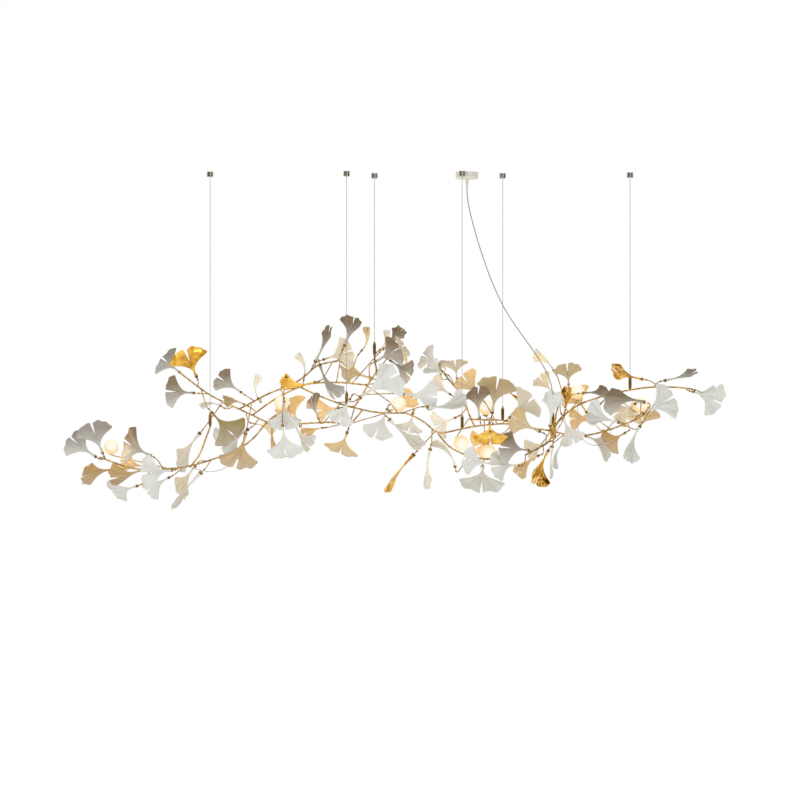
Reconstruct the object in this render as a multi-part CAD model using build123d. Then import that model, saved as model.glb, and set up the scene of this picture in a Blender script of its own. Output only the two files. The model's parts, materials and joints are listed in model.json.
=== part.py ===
from build123d import *

# Long branch chandelier: porcelain fan leaves on brazed brass twigs, lit by opal globe lamps,
# hung on six steel cables with a power cord beside them.
# Millimetres, +Z up. Origin: on the ceiling plane, at the centre of the power rose.
# X runs along the branch, Y is depth, with the side that is looked at towards -Y.

import os
from dataclasses import dataclass
from math import cos, radians, sin, tan

import numpy as np

# Porcelain leaves, at their standard length
LEAF_LENGTH = 100.0
LEAF_WALL = 3.0
LEAF_NECK_DIA = 9.0
LEAF_STALK_DIA = 6.0
LEAF_STALK = 22.0
STALK_TIP_DIA = 5.0
STALK_RUN_IN = 4.0
NOTCH_GAP = 7.0
CORNER_ROUND = 8.0
RIM_SWELL = 6.0
LEAF_CLEARANCE = 1.5

# Shares of a leaf: how far its flared side has opened halfway, how far its cleft has,
# how far its shell runs past the rim, and its rough widths when it is given room
FLARE_SHARE = 0.27
CLEFT_SHARE = 0.7
SHELL_REACH = 1.12
MID_WIDTH = 0.45
RIM_WIDTH = 0.7

# Brass branches
ROD_DIA = 5.0
TWIG_DIA = 3.2
TWIG_LEAD = 24.0
TWIG_FREE = 14.0
ROOT_SPACING = 10.0
COLLAR_LENGTH = 6.0
HUB_DIA = 18.0
HUB_HEIGHT = 46.0

# Opal globe lamps and their holders
GLOBE_DIA = 45.0
LAMP_NECK_DIA = 19.0
LAMP_CAP_DIA = 14.0
LAMP_CAP_LENGTH = 20.0
LAMP_NECK_LENGTH = 7.0
HOLDER_DIA = 20.0
HOLDER_FLOOR = 5.0
HOLDER_TAIL_DIA = 9.0
HOLDER_TAIL = 7.0
HOLDER_DEPTH = 18.0

# Steel cables, their ceiling cups and their grippers
CABLE_DIA = 1.5
FERRULE_DIA = 4.4
CUP_DIA = 20.0
CUP_HEIGHT = 16.0
CUP_THREAD_DIA = 5.0
CUP_THREAD_DEPTH = 7.0
CUP_FLOOR = 3.0
CUP_BORE_DIA = 3.0
GRIPPER_DIA = 9.4
GRIPPER_HEIGHT = 36.0
GRIPPER_FOOT_DIA = 5.0
GRIPPER_FOOT = 8.0
CABLE_SEAT_DIA = 2.8
CABLE_SEAT_FLOOR = 14.0
PLUNGER_DIA = 7.0
PLUNGER_BORE = 4.6
PLUNGER_NOSE_DIA = 6.0
PLUNGER_NOSE = 5.0
PLUNGER_SHOWS = 7.0
PLUNGER_DEPTH = 12.0
PLUNGER_TRAVEL = 2.0

# Power rose and cord
ROSE_DIA = 68.0
ROSE_HEIGHT = 22.0
ROSE_WALL = 1.8
ROSE_PLATE = 3.0
ROSE_SCREW_SPACING = 46.0
ROSE_SCREW_HOLE_DIA = 4.4
ROSE_WIRE_HOLE_DIA = 10.0
TERMINAL_WIDTH = 24.0
TERMINAL_DEPTH = 14.0
TERMINAL_HEIGHT = 9.0
GRIP_DIA = 10.0
GRIP_FLANGE_DIA = 16.0
GRIP_FLANGE = 3.0
GRIP_TAIL = 18.0
GRIP_TIP_DIA = 7.0
CORD_DIA = 3.2
GLAND_DIA = 10.0
GLAND_WALL = 1.0
FEED_WIRE_DIA = 1.6

# Fits
RUNNING_FIT = 0.05
REST_GAP = 0.3
SEAT_GAP = 0.1

# Cord runs are rounded by this share of the shorter run at each corner
CORNER_SHARE = 0.45

# How finely leaves and rods are sampled when the leaves are given room
LEAF_STEP = 6.0
ROD_STEP = 4.0
DEPTH_STEP = 12.0
DEPTH_TRIES = 19
CABLE_KEEP_CLEAR = 320.0
ROOM_MARGIN = 60.0

# A twig's root: what a turn costs beside its length, the sharpest turn, and when it is straight
TURN_COST = 1.7
SHARPEST_TURN = -0.5
STRAIGHT_WITHIN = 2.0


@dataclass
class Form:
    """A leaf blade: a thin shell turned about a tilted axis and trimmed to a notched fan."""

    tilt: float
    bend: float
    half_width: float
    corner: float
    notch: float


# tilt in degrees; bend is the radius of the midrib, positive where it curls to the hollow side
FORMS = {
    "fan": Form(tilt=60.0, bend=-230.0, half_width=56.0, corner=72.0, notch=40.0),
    "cup": Form(tilt=42.0, bend=260.0, half_width=46.0, corner=74.0, notch=30.0),
    "sickle": Form(tilt=66.0, bend=105.0, half_width=33.0, corner=76.0, notch=26.0),
    "fold": Form(tilt=24.0, bend=300.0, half_width=32.0, corner=70.0, notch=22.0),
    "slim": Form(tilt=62.0, bend=420.0, half_width=34.0, corner=74.0, notch=28.0),
}
SHELL_AXIS_BACK = 10.0
SHELL_AXIS_UP = 14.0
SHELL_SPAN = 80.0


@dataclass
class Seat:
    """Where a leaf's neck sits and how the leaf points.

    heading: degrees from +X towards +Z, lean: degrees away from the viewed side,
    roll: degrees about the heading, with the hollow side to the viewer at 0.
    """

    x: float
    z: float
    depth: float
    heading: float
    lean: float
    roll: float
    length: float
    form: str


LEAVES = {
    "left_tip": [
        Seat(-1092, -840, -30, 110, -35, 5, 98, "fan"),
        Seat(-1116, -852, -10, 146, -22, 20, 92, "fan"),
        Seat(-948, -849, -55, 156, 20, 20, 104, "fan"),
        Seat(-966, -882, -15, 178, 30, -30, 80, "cup"),
        Seat(-1050, -891, -45, 183, 0, -58, 104, "fan"),
        Seat(-969, -891, -30, 204, 10, -45, 98, "cup"),
        Seat(-885, -894, -50, 186, -45, 0, 98, "fan"),
        Seat(-990, -942, -20, 200, 20, 40, 90, "fan"),
        Seat(-897, -918, 20, 208, 25, 20, 80, "cup"),
        Seat(-807, -786, 20, 229, 5, -64, 122, "fan"),
    ],
    "left_arm": [
        Seat(-819, -885, 30, 230, 5, -55, 98, "fan"),
        Seat(-798, -903, -10, 224, 0, 84, 134, "slim"),
        Seat(-864, -600, 10, 142, 25, 0, 86, "fan"),
        Seat(-819, -663, -25, 176, 5, 0, 87, "fan"),
        Seat(-678, -660, -10, 146, 10, 0, 82, "cup"),
        Seat(-762, -723, -60, -47, 0, 0, 104, "fan"),
        Seat(-660, -774, 25, 214, 10, 10, 106, "fan"),
        Seat(-741, -701, 20, 150, 20, 80, 60, "sickle"),
        Seat(-663, -786, -40, 256, 10, 20, 112, "fan"),
        Seat(-636, -756, 45, -12, 20, 20, 60, "cup"),
        Seat(-627, -678, -10, 120, 20, -80, 68, "sickle"),
        Seat(-672, -696, 40, 155, 20, 60, 64, "cup"),
    ],
    "mid_left": [
        Seat(-486, -609, -40, 80, 20, 70, 64, "sickle"),
        Seat(-453, -567, -40, 61, 0, 68, 110, "slim"),
        Seat(-438, -582, -75, -74, 0, 62, 106, "cup"),
        Seat(-444, -738, -60, 115, 15, 50, 74, "fan"),
        Seat(-547, -692, -45, -88, -40, 0, 88, "fan"),
        Seat(-549, -762, -75, -85, 8, 0, 98, "fan"),
        Seat(-582, -759, 10, -104, 5, 60, 96, "sickle"),
        Seat(-513, -765, 10, -66, 30, 50, 80, "cup"),
        Seat(-510, -750, 40, 115, 20, 0, 88, "fan"),
        Seat(-387, -708, 30, 187, 45, 0, 78, "cup"),
        Seat(-351, -684, -60, -119, -15, -20, 78, "fan"),
        Seat(-360, -783, -25, -110, 35, 0, 96, "fan"),
        Seat(-435, -768, 50, 185, 50, 30, 66, "sickle"),
    ],
    "crown": [
        Seat(-318, -675, -70, 36, 5, -20, 130, "cup"),
        Seat(-366, -519, -20, 65, 10, 35, 86, "cup"),
        Seat(-427, -562, -45, 18, 0, 0, 87, "fan"),
        Seat(-288, -618, 0, 165, 12, 50, 108, "fan"),
        Seat(-315, -534, 0, 50, 15, 70, 68, "sickle"),
        Seat(-273, -567, 10, 29, 10, 0, 86, "fan"),
        Seat(-228, -567, -10, -32, 10, 30, 80, "fan"),
        Seat(-261, -531, 60, 40, 20, 70, 60, "sickle"),
        Seat(-250, -528, 90, 42, 10, 40, 84, "slim"),
        Seat(-219, -540, 80, 35, 40, 0, 63, "fan"),
        Seat(-186, -606, 60, 70, 0, 60, 70, "sickle"),
        Seat(-189, -666, -45, -5, 5, 0, 98, "cup"),
        Seat(-231, -717, 20, 24, 15, 30, 86, "cup"),
    ],
    "centre_left": [
        Seat(-240, -714, -35, -110, 0, 25, 92, "fan"),
        Seat(-162, -726, 10, -105, 30, 0, 74, "fan"),
        Seat(-231, -744, -60, -47, 0, 60, 124, "slim"),
        Seat(-111, -834, -10, -102, 0, 74, 116, "slim"),
        Seat(-81, -576, 110, 150, 25, 0, 74, "fan"),
        Seat(-66, -606, 75, 160, 45, -30, 68, "cup"),
        Seat(-78, -606, 95, 100, 40, 0, 64, "fan"),
        Seat(-30, -618, 45, 96, 30, 0, 72, "fan"),
        Seat(-51, -666, 60, 146, 35, 0, 72, "cup"),
        Seat(-117, -705, -75, -3, 0, 60, 112, "cup"),
        Seat(-36, -738, 45, 205, 25, 0, 82, "fan"),
        Seat(36, -735, -70, 100, 0, 45, 90, "fan"),
        Seat(-36, -882, 0, 102, 5, 65, 94, "sickle"),
    ],
    "centre": [
        Seat(75, -720, -40, 80, 0, 0, 104, "fan"),
        Seat(42, -678, 40, 130, 25, 0, 90, "cup"),
        Seat(129, -735, -30, 40, 15, 0, 100, "fan"),
        Seat(213, -777, -60, 158, 0, 35, 94, "fan"),
        Seat(96, -792, -10, 208, 15, 0, 90, "fan"),
        Seat(69, -873, -85, 174, -10, 25, 82, "fan"),
        Seat(45, -885, -70, -95, -68, 0, 120, "fan"),
        Seat(150, -879, -80, 176, -35, -25, 86, "fan"),
        Seat(180, -834, -75, 172, -35, 0, 90, "fan"),
        Seat(213, -852, 10, 203, 35, 40, 82, "sickle"),
        Seat(243, -813, 40, 204, 40, 0, 74, "cup"),
    ],
    "knot": [
        Seat(246, -759, -60, 84, 0, 0, 100, "fold"),
        Seat(303, -636, -35, 97, -52, 0, 76, "fan"),
        Seat(261, -594, 35, 122, 15, 74, 80, "cup"),
        Seat(258, -660, 45, 129, 40, 0, 68, "cup"),
        Seat(348, -663, -20, 6, 10, 60, 90, "fan"),
        Seat(363, -720, 30, 124, 15, 0, 88, "fan"),
        Seat(285, -738, -30, -66, 25, 0, 84, "cup"),
        Seat(357, -792, -20, -22, 20, 40, 98, "fan"),
        Seat(252, -825, -30, -99, 0, 84, 92, "slim"),
        Seat(297, -807, 25, -142, 5, 70, 84, "sickle"),
        Seat(378, -744, 10, 172, 40, 20, 74, "cup"),
        Seat(405, -696, 50, 225, 45, 20, 68, "sickle"),
    ],
    "right_tip": [
        Seat(525, -690, -45, 166, 0, 40, 114, "cup"),
        Seat(447, -750, -70, 166, 0, -25, 96, "cup"),
        Seat(528, -723, -75, 28, 0, 0, 104, "fan"),
        Seat(684, -657, -30, -28, -45, 0, 94, "fan"),
        Seat(681, -660, 24, -14, 40, 0, 74, "cup"),
        Seat(597, -625, 10, 10, 0, 72, 96, "slim"),
        Seat(501, -696, 20, 209, 25, 0, 86, "fan"),
        Seat(459, -744, 60, 20, 45, 0, 80, "cup"),
        Seat(471, -783, -10, 212, 25, 0, 78, "fan"),
        Seat(516, -765, -45, 238, 0, 58, 106, "cup"),
        Seat(522, -762, 20, 45, 40, 20, 72, "cup"),
    ],
    "left_gilded": [
        Seat(-810, -612, -45, 111, -50, 0, 102, "fan"),
        Seat(-456, -632, -70, 196, 0, -60, 98, "cup"),
        Seat(-162, -849, -40, 226, 0, 80, 136, "slim"),
    ],
    "right_gilded": [
        Seat(129, -660, 20, -50, 40, 40, 62, "sickle"),
        Seat(66, -756, -80, -90, -64, 0, 92, "fan"),
        Seat(288, -729, -50, 76, 0, 60, 86, "slim"),
        Seat(240, -837, -70, 240, 0, 50, 104, "cup"),
        Seat(522, -621, 0, 170, 5, 66, 94, "fan"),
    ],
}

# Branch rods, each a chain of hand-chosen points; a rod that starts or ends on another is coped to it
KNOT = (258, 0, -777)
RODS = {
    "left_arm_branch": [
        (-1101, -20, -855), (-1011, -35, -888), (-951, -30, -894), (-831, 0, -885),
        (-690, 30, -837), (-636, 35, -795), (-603, 30, -750), (-531, 20, -699),
    ],
    "left_top_branch": [(-864, -10, -600), (-771, 14, -672), (-684, 20, -711), (-603, 30, -750)],
    "left_riser": [(-770, -12, -765), (-786, -10, -807), (-801, -5, -849), (-831, 0, -885)],
    "mid_front_branch": [
        (-684, 20, -711), (-642, -20, -690), (-597, -45, -666), (-519, -60, -636),
        (-483, -55, -612), (-450, -50, -579), (-387, -40, -567),
    ],
    "mid_back_branch": [
        (-645, 24, -730), (-588, 40, -687), (-534, 50, -657), (-477, 60, -633),
        (-384, 60, -630), (-303, 40, -639),
    ],
    "mid_bridge": [
        (-519, -60, -636), (-450, -50, -669), (-372, -40, -699), (-270, -30, -723), (-183, -20, -723),
    ],
    "mid_low_branch": [
        (-603, 30, -750), (-540, 60, -752), (-507, 70, -756), (-402, 60, -750),
        (-354, 20, -762), (-312, -32, -713),
    ],
    "crown_branch": [
        (-340, -37, -707), (-315, -10, -672), (-297, 20, -636), (-270, 45, -597),
        (-277, 60, -570), (-278, 62, -552),
    ],
    "centre_branch": [
        (-183, -20, -723), (-135, -20, -744), (-87, -30, -786), (-45, -45, -777),
        (21, -45, -762), (120, -20, -753), (189, 0, -768), KNOT,
    ],
    "centre_low_branch": [
        (-87, -30, -786), (-54, -50, -825), (-12, -60, -846), (48, -60, -861), (99, -50, -858),
    ],
    "centre_top_branch": [
        (21, -45, -762), (3, 0, -720), (-9, 30, -675), (-48, 55, -630), (-78, 75, -591),
    ],
    "centre_back_branch": [
        (6, 60, -741), (48, 70, -744), (108, 70, -744), (159, 40, -756), (189, 0, -768),
    ],
    "right_arm_branch": [
        KNOT, (321, -20, -795), (381, -35, -786), (432, -40, -771), (501, -40, -744), (528, -35, -729),
    ],
    "right_top_branch": [
        KNOT, (279, 10, -738), (333, 20, -699), (363, 25, -687), (429, 30, -666), (489, 30, -654),
        (546, 25, -645), (624, 10, -645), (678, 0, -651), (720, -10, -669),
    ],
    "right_spur": [KNOT, (246, -20, -810), (207, -45, -831), (171, -60, -849)],
    "right_riser": [KNOT, (267, -20, -720), (285, -30, -669), (294, -30, -648)],
}

# Cables: the rod that each one carries, and where along X it hangs
CABLES = [
    ("left_riser", -770),
    ("mid_bridge", -361),
    ("crown_branch", -278),
    ("centre_branch", -16),
    ("centre_back_branch", 110),
    ("right_top_branch", 491),
]

# Lamps: globe centre, and the way the globe points from its holder
LAMPS = [
    ((-1068, 10, -825), (0.10, -0.95, 0.30)),
    ((-375, 20, -540), (0.10, -0.90, 0.40)),
    ((-556, -2, -693), (0.00, -0.95, 0.20)),
    ((-204, -5, -696), (-0.10, -0.95, 0.25)),
    ((-18, -15, -812), (0.15, -0.95, -0.20)),
    ((57, 15, -706), (0.00, -0.92, 0.35)),
    ((63, -20, -838), (0.10, -0.92, -0.35)),
    ((519, -5, -700), (0.10, -0.95, 0.25)),
    ((333, 30, -660), (0.00, -0.90, 0.40)),
]

# Power cord from the rose to the gland, and the two feed wires that loop along the branches
CORD_ROUTE = [
    (0, 0, -40), (0, 0, -73), (7, 0, -113), (19, 0, -160), (33, 0, -210), (50, 0, -262),
    (69, 0, -316), (92, 0, -370), (120, 0, -424), (154, 0, -474), (189, 0, -522), (222, 0, -569),
    (247, 0, -616), (258, 0, -662), (258, 0, -708),
]
FEED_WIRES = {
    "left_feed_wire": [
        (-831, 0, -885), (-792, 2, -899), (-753, 6, -899), (-720, 14, -886), (-697, 24, -862),
        (-690, 30, -837),
    ],
    "right_feed_wire": [
        (333, 20, -699), (333, 4, -732), (329, -24, -764), (338, -44, -794), (360, -54, -816),
        (388, -57, -822), (414, -50, -806), (432, -40, -771),
    ],
}


def unit(vector):
    vector = np.asarray(vector, float)
    return vector / np.linalg.norm(vector)


def corner_radii(points):
    """The largest even arc at each corner of a chain of points."""
    radii = []
    for before, here, after in zip(points, points[1:], points[2:]):
        run_in = Vector(*here) - Vector(*before)
        run_out = Vector(*after) - Vector(*here)
        turn = radians(run_in.get_angle(run_out))
        radii.append(CORNER_SHARE * min(run_in.length, run_out.length) / tan(turn / 2))
    return radii


def tube_path(points):
    points = [tuple(float(v) for v in p) for p in points]
    if len(points) == 2:
        return Line(*points)
    return FilletPolyline(*points, radius=corner_radii(points))


def tube(path, dia):
    section = Plane(origin=path @ 0, z_dir=path % 0) * Circle(dia / 2)
    return sweep(section, path=path)


def path_points(path, step):
    count = max(2, int(path.length / step) + 1)
    return np.array([tuple(path @ t) for t in np.linspace(0, 1, count)])


def solids_of(shape):
    return list(shape.solids())


# Leaves

def fan_outline(form):
    """Half outline from stalk to notch, mirrored: flared side, round corner, lobed rim, cleft."""
    stalk_half = LEAF_STALK_DIA / 2
    flare_end = (form.corner - CORNER_ROUND / 2, form.half_width - CORNER_ROUND * 3 / 4)
    corner = (form.corner + CORNER_ROUND / 8, form.half_width)
    rim_start = (form.corner + CORNER_ROUND, form.half_width - CORNER_ROUND * 3 / 8)
    rim_end = (LEAF_LENGTH, NOTCH_GAP / 2)
    flare_mid = (
        (LEAF_STALK + flare_end[0]) / 2 + CORNER_ROUND * 3 / 8,
        stalk_half + FLARE_SHARE * (flare_end[1] - stalk_half),
    )
    rim_mid = ((rim_start[0] + rim_end[0]) / 2 + RIM_SWELL, (rim_start[1] + rim_end[1]) / 2 + RIM_SWELL)
    cleft = (LEAF_LENGTH - form.notch, 0)
    cleft_mid = ((rim_end[0] + cleft[0]) / 2, CLEFT_SHARE * NOTCH_GAP / 2)
    half = [
        Line((0, 0), (0, stalk_half)),
        Line((0, stalk_half), (LEAF_STALK, stalk_half)),
        ThreePointArc((LEAF_STALK, stalk_half), flare_mid, flare_end),
        ThreePointArc(flare_end, corner, rim_start),
        ThreePointArc(rim_start, rim_mid, rim_end),
        ThreePointArc(rim_end, cleft_mid, cleft),
        Line(cleft, (0, 0)),
    ]
    face = make_face(half)
    return face + mirror(face, about=Plane.XZ)


def midrib(form, run):
    """Point on the midrib after a given run from the neck, in the leaf's XZ plane."""
    turn = run / abs(form.bend)
    side = 1 if form.bend > 0 else -1
    return abs(form.bend) * sin(turn), side * abs(form.bend) * (1 - cos(turn))


def midrib_strip(form):
    """The leaf's wall seen in section along the midrib."""
    side = 1 if form.bend > 0 else -1
    reach = SHELL_REACH * LEAF_LENGTH / abs(form.bend)
    edges = []
    ends = []
    for radius in (abs(form.bend) - LEAF_WALL / 2, abs(form.bend) + LEAF_WALL / 2):
        arc = [(radius * sin(a), side * (abs(form.bend) - radius * cos(a))) for a in (0, reach / 2, reach)]
        edges.append(ThreePointArc(*arc))
        ends.append((arc[0], arc[2]))
    edges.append(Line(ends[0][0], ends[1][0]))
    edges.append(Line(ends[0][1], ends[1][1]))
    return Plane.XZ * make_face(edges)


def shell_axis(form):
    tilt = radians(form.tilt)
    return Axis((-SHELL_AXIS_BACK, 0, SHELL_AXIS_UP), (cos(tilt), 0, sin(tilt)))


def leaf_solid(form):
    axis = shell_axis(form)
    strip = midrib_strip(form).rotate(axis, -SHELL_SPAN)
    shell = revolve(strip, axis, 2 * SHELL_SPAN)
    blade = shell & extrude(fan_outline(form), LEAF_LENGTH, both=True)
    blade = max(solids_of(blade), key=lambda s: s.volume)
    base = (Align.CENTER, Align.CENTER, Align.MIN)
    stalk = Plane.YZ * Cone(LEAF_NECK_DIA / 2, STALK_TIP_DIA / 2, LEAF_STALK + STALK_RUN_IN, align=base)
    return (Part() + blade + stalk).clean()


def leaf_samples(form):
    """Points over the middle of the leaf's wall, at about LEAF_STEP apart."""
    axis = shell_axis(form)
    origin = np.array(tuple(axis.position))
    along = np.array(tuple(axis.direction))
    rows = []
    for run in np.arange(LEAF_STEP, LEAF_LENGTH + LEAF_STEP, LEAF_STEP):
        x, z = midrib(form, run)
        arm = np.array([x, 0, z]) - origin
        foot = origin + along * (arm @ along)
        out = arm - along * (arm @ along)
        radius = np.linalg.norm(out)
        turns = np.arange(0, radians(SHELL_SPAN), LEAF_STEP / max(radius, LEAF_STEP))
        for turn in np.concatenate([-turns[:0:-1], turns]):
            rows.append(foot + out * cos(turn) + np.cross(along, out) * sin(turn))
    points = np.array(rows)
    widths_at = [0, LEAF_STALK, (LEAF_STALK + form.corner) / 2, form.corner, LEAF_LENGTH]
    widths = [LEAF_NECK_DIA / 2, LEAF_STALK_DIA / 2]
    widths += [form.half_width * share for share in (MID_WIDTH, 1, RIM_WIDTH)]
    inside = np.abs(points[:, 1]) <= np.interp(points[:, 0], widths_at, widths) + 1
    return points[inside & (points[:, 0] <= LEAF_LENGTH)]


def leaf_axes(seat):
    heading, lean = radians(seat.heading), radians(seat.lean)
    along = np.array([cos(heading) * cos(lean), sin(lean), sin(heading) * cos(lean)])
    toward = np.array([0.0, -1.0, 0.0])
    facing = unit(toward - along * (toward @ along))
    across = np.cross(facing, along)
    roll = radians(seat.roll)
    return along, unit(facing * cos(roll) + across * sin(roll))


class Room:
    """What already stands in the crown, as points with a reach around each."""

    def __init__(self):
        kinds = ("rods", "twigs", "bodies")
        self.points = {kind: np.empty((0, 3)) for kind in kinds}
        self.reach = {kind: np.empty(0) for kind in kinds}

    def add(self, kind, points, reach):
        points = np.atleast_2d(points)
        self.points[kind] = np.vstack([self.points[kind], points])
        self.reach[kind] = np.append(self.reach[kind], np.full(len(points), reach))

    def spare(self, kind, points, reach):
        """The least room between these points and what stands there already."""
        low, high = points.min(axis=0) - ROOM_MARGIN, points.max(axis=0) + ROOM_MARGIN
        near = np.all((self.points[kind] > low) & (self.points[kind] < high), axis=1)
        if not near.any():
            return ROOM_MARGIN
        gaps = np.linalg.norm(points[:, None] - self.points[kind][near][None], axis=2)
        return float((gaps - self.reach[kind][near][None]).min() - reach)


def twig_points(rod_points, neck, along):
    """Root on the best rod point, a lead in line with the leaf, and the neck."""
    lead = neck - along * TWIG_LEAD
    best = None
    for name, points in rod_points.items():
        if not len(points):
            continue
        runs = lead - points
        lengths = np.linalg.norm(runs, axis=1)
        straight = (runs @ along) / np.maximum(lengths, 1e-6)
        cost = lengths * (TURN_COST - straight)
        cost[(lengths < 3 * TWIG_DIA) | (straight < SHARPEST_TURN)] = np.inf
        pick = int(cost.argmin())
        if best is None or cost[pick] < best[0]:
            best = (cost[pick], name, points[pick])
    return best[1], [best[2], lead, neck]


def twig_path(points):
    run_in = points[1] - points[0]
    run_out = points[2] - points[1]
    turn = Vector(*run_in).get_angle(Vector(*run_out))
    if turn < STRAIGHT_WITHIN:
        return tube_path([points[0], points[2]])
    return tube_path(points)


def settle(seat, samples, rod_points, room):
    """The first depth, stepping out from the nominal one, where leaf and twig have room."""
    along, facing = leaf_axes(seat)
    across = np.cross(facing, along)
    turned = seat.length / LEAF_LENGTH * (samples @ np.array([along, across, facing]))
    reach = LEAF_WALL / 2 + LEAF_STEP
    collar = seat.length / LEAF_LENGTH * LEAF_NECK_DIA / 2
    steps = sorted(range(-DEPTH_TRIES, DEPTH_TRIES + 1), key=lambda n: (abs(n), n))
    best = None
    for step in steps:
        neck = np.array([seat.x, seat.depth + step * DEPTH_STEP, seat.z], float)
        rod, route = twig_points(rod_points, neck, along)
        leaf_points = turned + neck
        stem = path_points(twig_path(route), ROD_STEP)
        from_root = np.linalg.norm(stem - route[0], axis=1)
        end = stem[np.linalg.norm(stem - neck, axis=1) < COLLAR_LENGTH]
        spare = min(
            room.spare("bodies", leaf_points, reach),
            room.spare("rods", leaf_points, reach),
            room.spare("twigs", leaf_points, reach),
            room.spare("bodies", stem, TWIG_DIA / 2 + LEAF_STEP),
            room.spare("rods", stem[from_root > TWIG_FREE], TWIG_DIA / 2),
            room.spare("twigs", stem[from_root > TWIG_DIA], TWIG_DIA / 2),
            room.spare("rods", end, collar),
            room.spare("twigs", end, collar),
        )
        if best is None or spare > best[0]:
            best = (spare, neck, rod, route, leaf_points, stem)
        if spare >= LEAF_CLEARANCE:
            break
    return best, along, facing


# Lamps

def lamp_solid():
    """Opal globe on its screw cap, along +Z with the globe's centre at the origin."""
    radius = GLOBE_DIA / 2
    neck = LAMP_NECK_DIA / 2
    cap = LAMP_CAP_DIA / 2
    neck_z = -((radius**2 - neck**2) ** 0.5)
    cap_z = neck_z - LAMP_NECK_LENGTH
    end_z = cap_z - LAMP_CAP_LENGTH
    half = [
        ThreePointArc((0, radius), (radius, 0), (neck, neck_z)),
        Line((neck, neck_z), (cap, cap_z)),
        Line((cap, cap_z), (cap, end_z)),
        Line((cap, end_z), (0, end_z)),
        Line((0, end_z), (0, radius)),
    ]
    return revolve(Plane.XZ * make_face(half), Axis.Z), cap_z, end_z


def holder_solid(end_z):
    """Brass sleeve round the lamp's cap, with a tail that its twig meets."""
    floor_z = end_z - REST_GAP
    low_z = floor_z - HOLDER_FLOOR
    base = (Align.CENTER, Align.CENTER, Align.MIN)
    sleeve = Pos(0, 0, low_z) * Cylinder(HOLDER_DIA / 2, HOLDER_DEPTH + HOLDER_FLOOR, align=base)
    sleeve -= Pos(0, 0, floor_z) * Cylinder(LAMP_CAP_DIA / 2 + RUNNING_FIT, HOLDER_DEPTH, align=base)
    tail_z = low_z - HOLDER_TAIL
    sleeve += Pos(0, 0, tail_z) * Cone(HOLDER_TAIL_DIA / 2, HOLDER_DIA / 2, HOLDER_TAIL, align=base)
    return sleeve, tail_z


# Hanging gear

def gripper_solids():
    """Gripper and its release plunger, along +Z from the middle of the rod that they stand on."""
    base = (Align.CENTER, Align.CENTER, Align.MIN)
    body = Cone(GRIPPER_FOOT_DIA / 2, GRIPPER_DIA / 2, GRIPPER_FOOT, align=base)
    body += Pos(0, 0, GRIPPER_FOOT) * Cylinder(GRIPPER_DIA / 2, GRIPPER_HEIGHT - GRIPPER_FOOT, align=base)
    seat_z = GRIPPER_HEIGHT - PLUNGER_DEPTH
    body -= Pos(0, 0, CABLE_SEAT_FLOOR) * Cylinder(CABLE_SEAT_DIA / 2, GRIPPER_HEIGHT, align=base)
    body -= Pos(0, 0, seat_z) * Cylinder(PLUNGER_DIA / 2 + RUNNING_FIT, PLUNGER_DEPTH, align=base)
    foot_z = seat_z + PLUNGER_TRAVEL + REST_GAP
    nose_z = GRIPPER_HEIGHT + PLUNGER_SHOWS - PLUNGER_NOSE
    plunger = Pos(0, 0, foot_z) * Cylinder(PLUNGER_DIA / 2, nose_z - foot_z, align=base)
    plunger += Pos(0, 0, nose_z) * Cone(PLUNGER_DIA / 2, PLUNGER_NOSE_DIA / 2, PLUNGER_NOSE, align=base)
    plunger -= Pos(0, 0, foot_z) * Cylinder(PLUNGER_BORE / 2, GRIPPER_HEIGHT, align=base)
    return body, plunger


def cup_solid():
    """Ceiling cup, hanging below its top face at the origin."""
    top = (Align.CENTER, Align.CENTER, Align.MAX)
    cup = Cylinder(CUP_DIA / 2, CUP_HEIGHT, align=top)
    cup = fillet(cup.edges().sort_by(Axis.Z)[0], CUP_FLOOR / 2)
    cup -= Cylinder(CUP_THREAD_DIA / 2, CUP_THREAD_DEPTH, align=top)
    cup -= Cylinder(FERRULE_DIA / 2 + SEAT_GAP, CUP_HEIGHT - CUP_FLOOR, align=top)
    return cup - Cylinder(CUP_BORE_DIA / 2, CUP_HEIGHT, align=top)


def ferrule_z():
    return -CUP_HEIGHT + CUP_FLOOR + FERRULE_DIA / 2 + SEAT_GAP


def cable_solid(foot):
    """Cable from its ball ferrule in the cup down to its seat in the gripper."""
    low_z = foot[2] + CABLE_SEAT_FLOOR + REST_GAP
    line = Pos(foot[0], foot[1], low_z) * Cylinder(
        CABLE_DIA / 2, ferrule_z() - low_z, align=(Align.CENTER, Align.CENTER, Align.MIN)
    )
    return line + Pos(foot[0], foot[1], ferrule_z()) * Sphere(FERRULE_DIA / 2)


# Power rose

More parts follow.
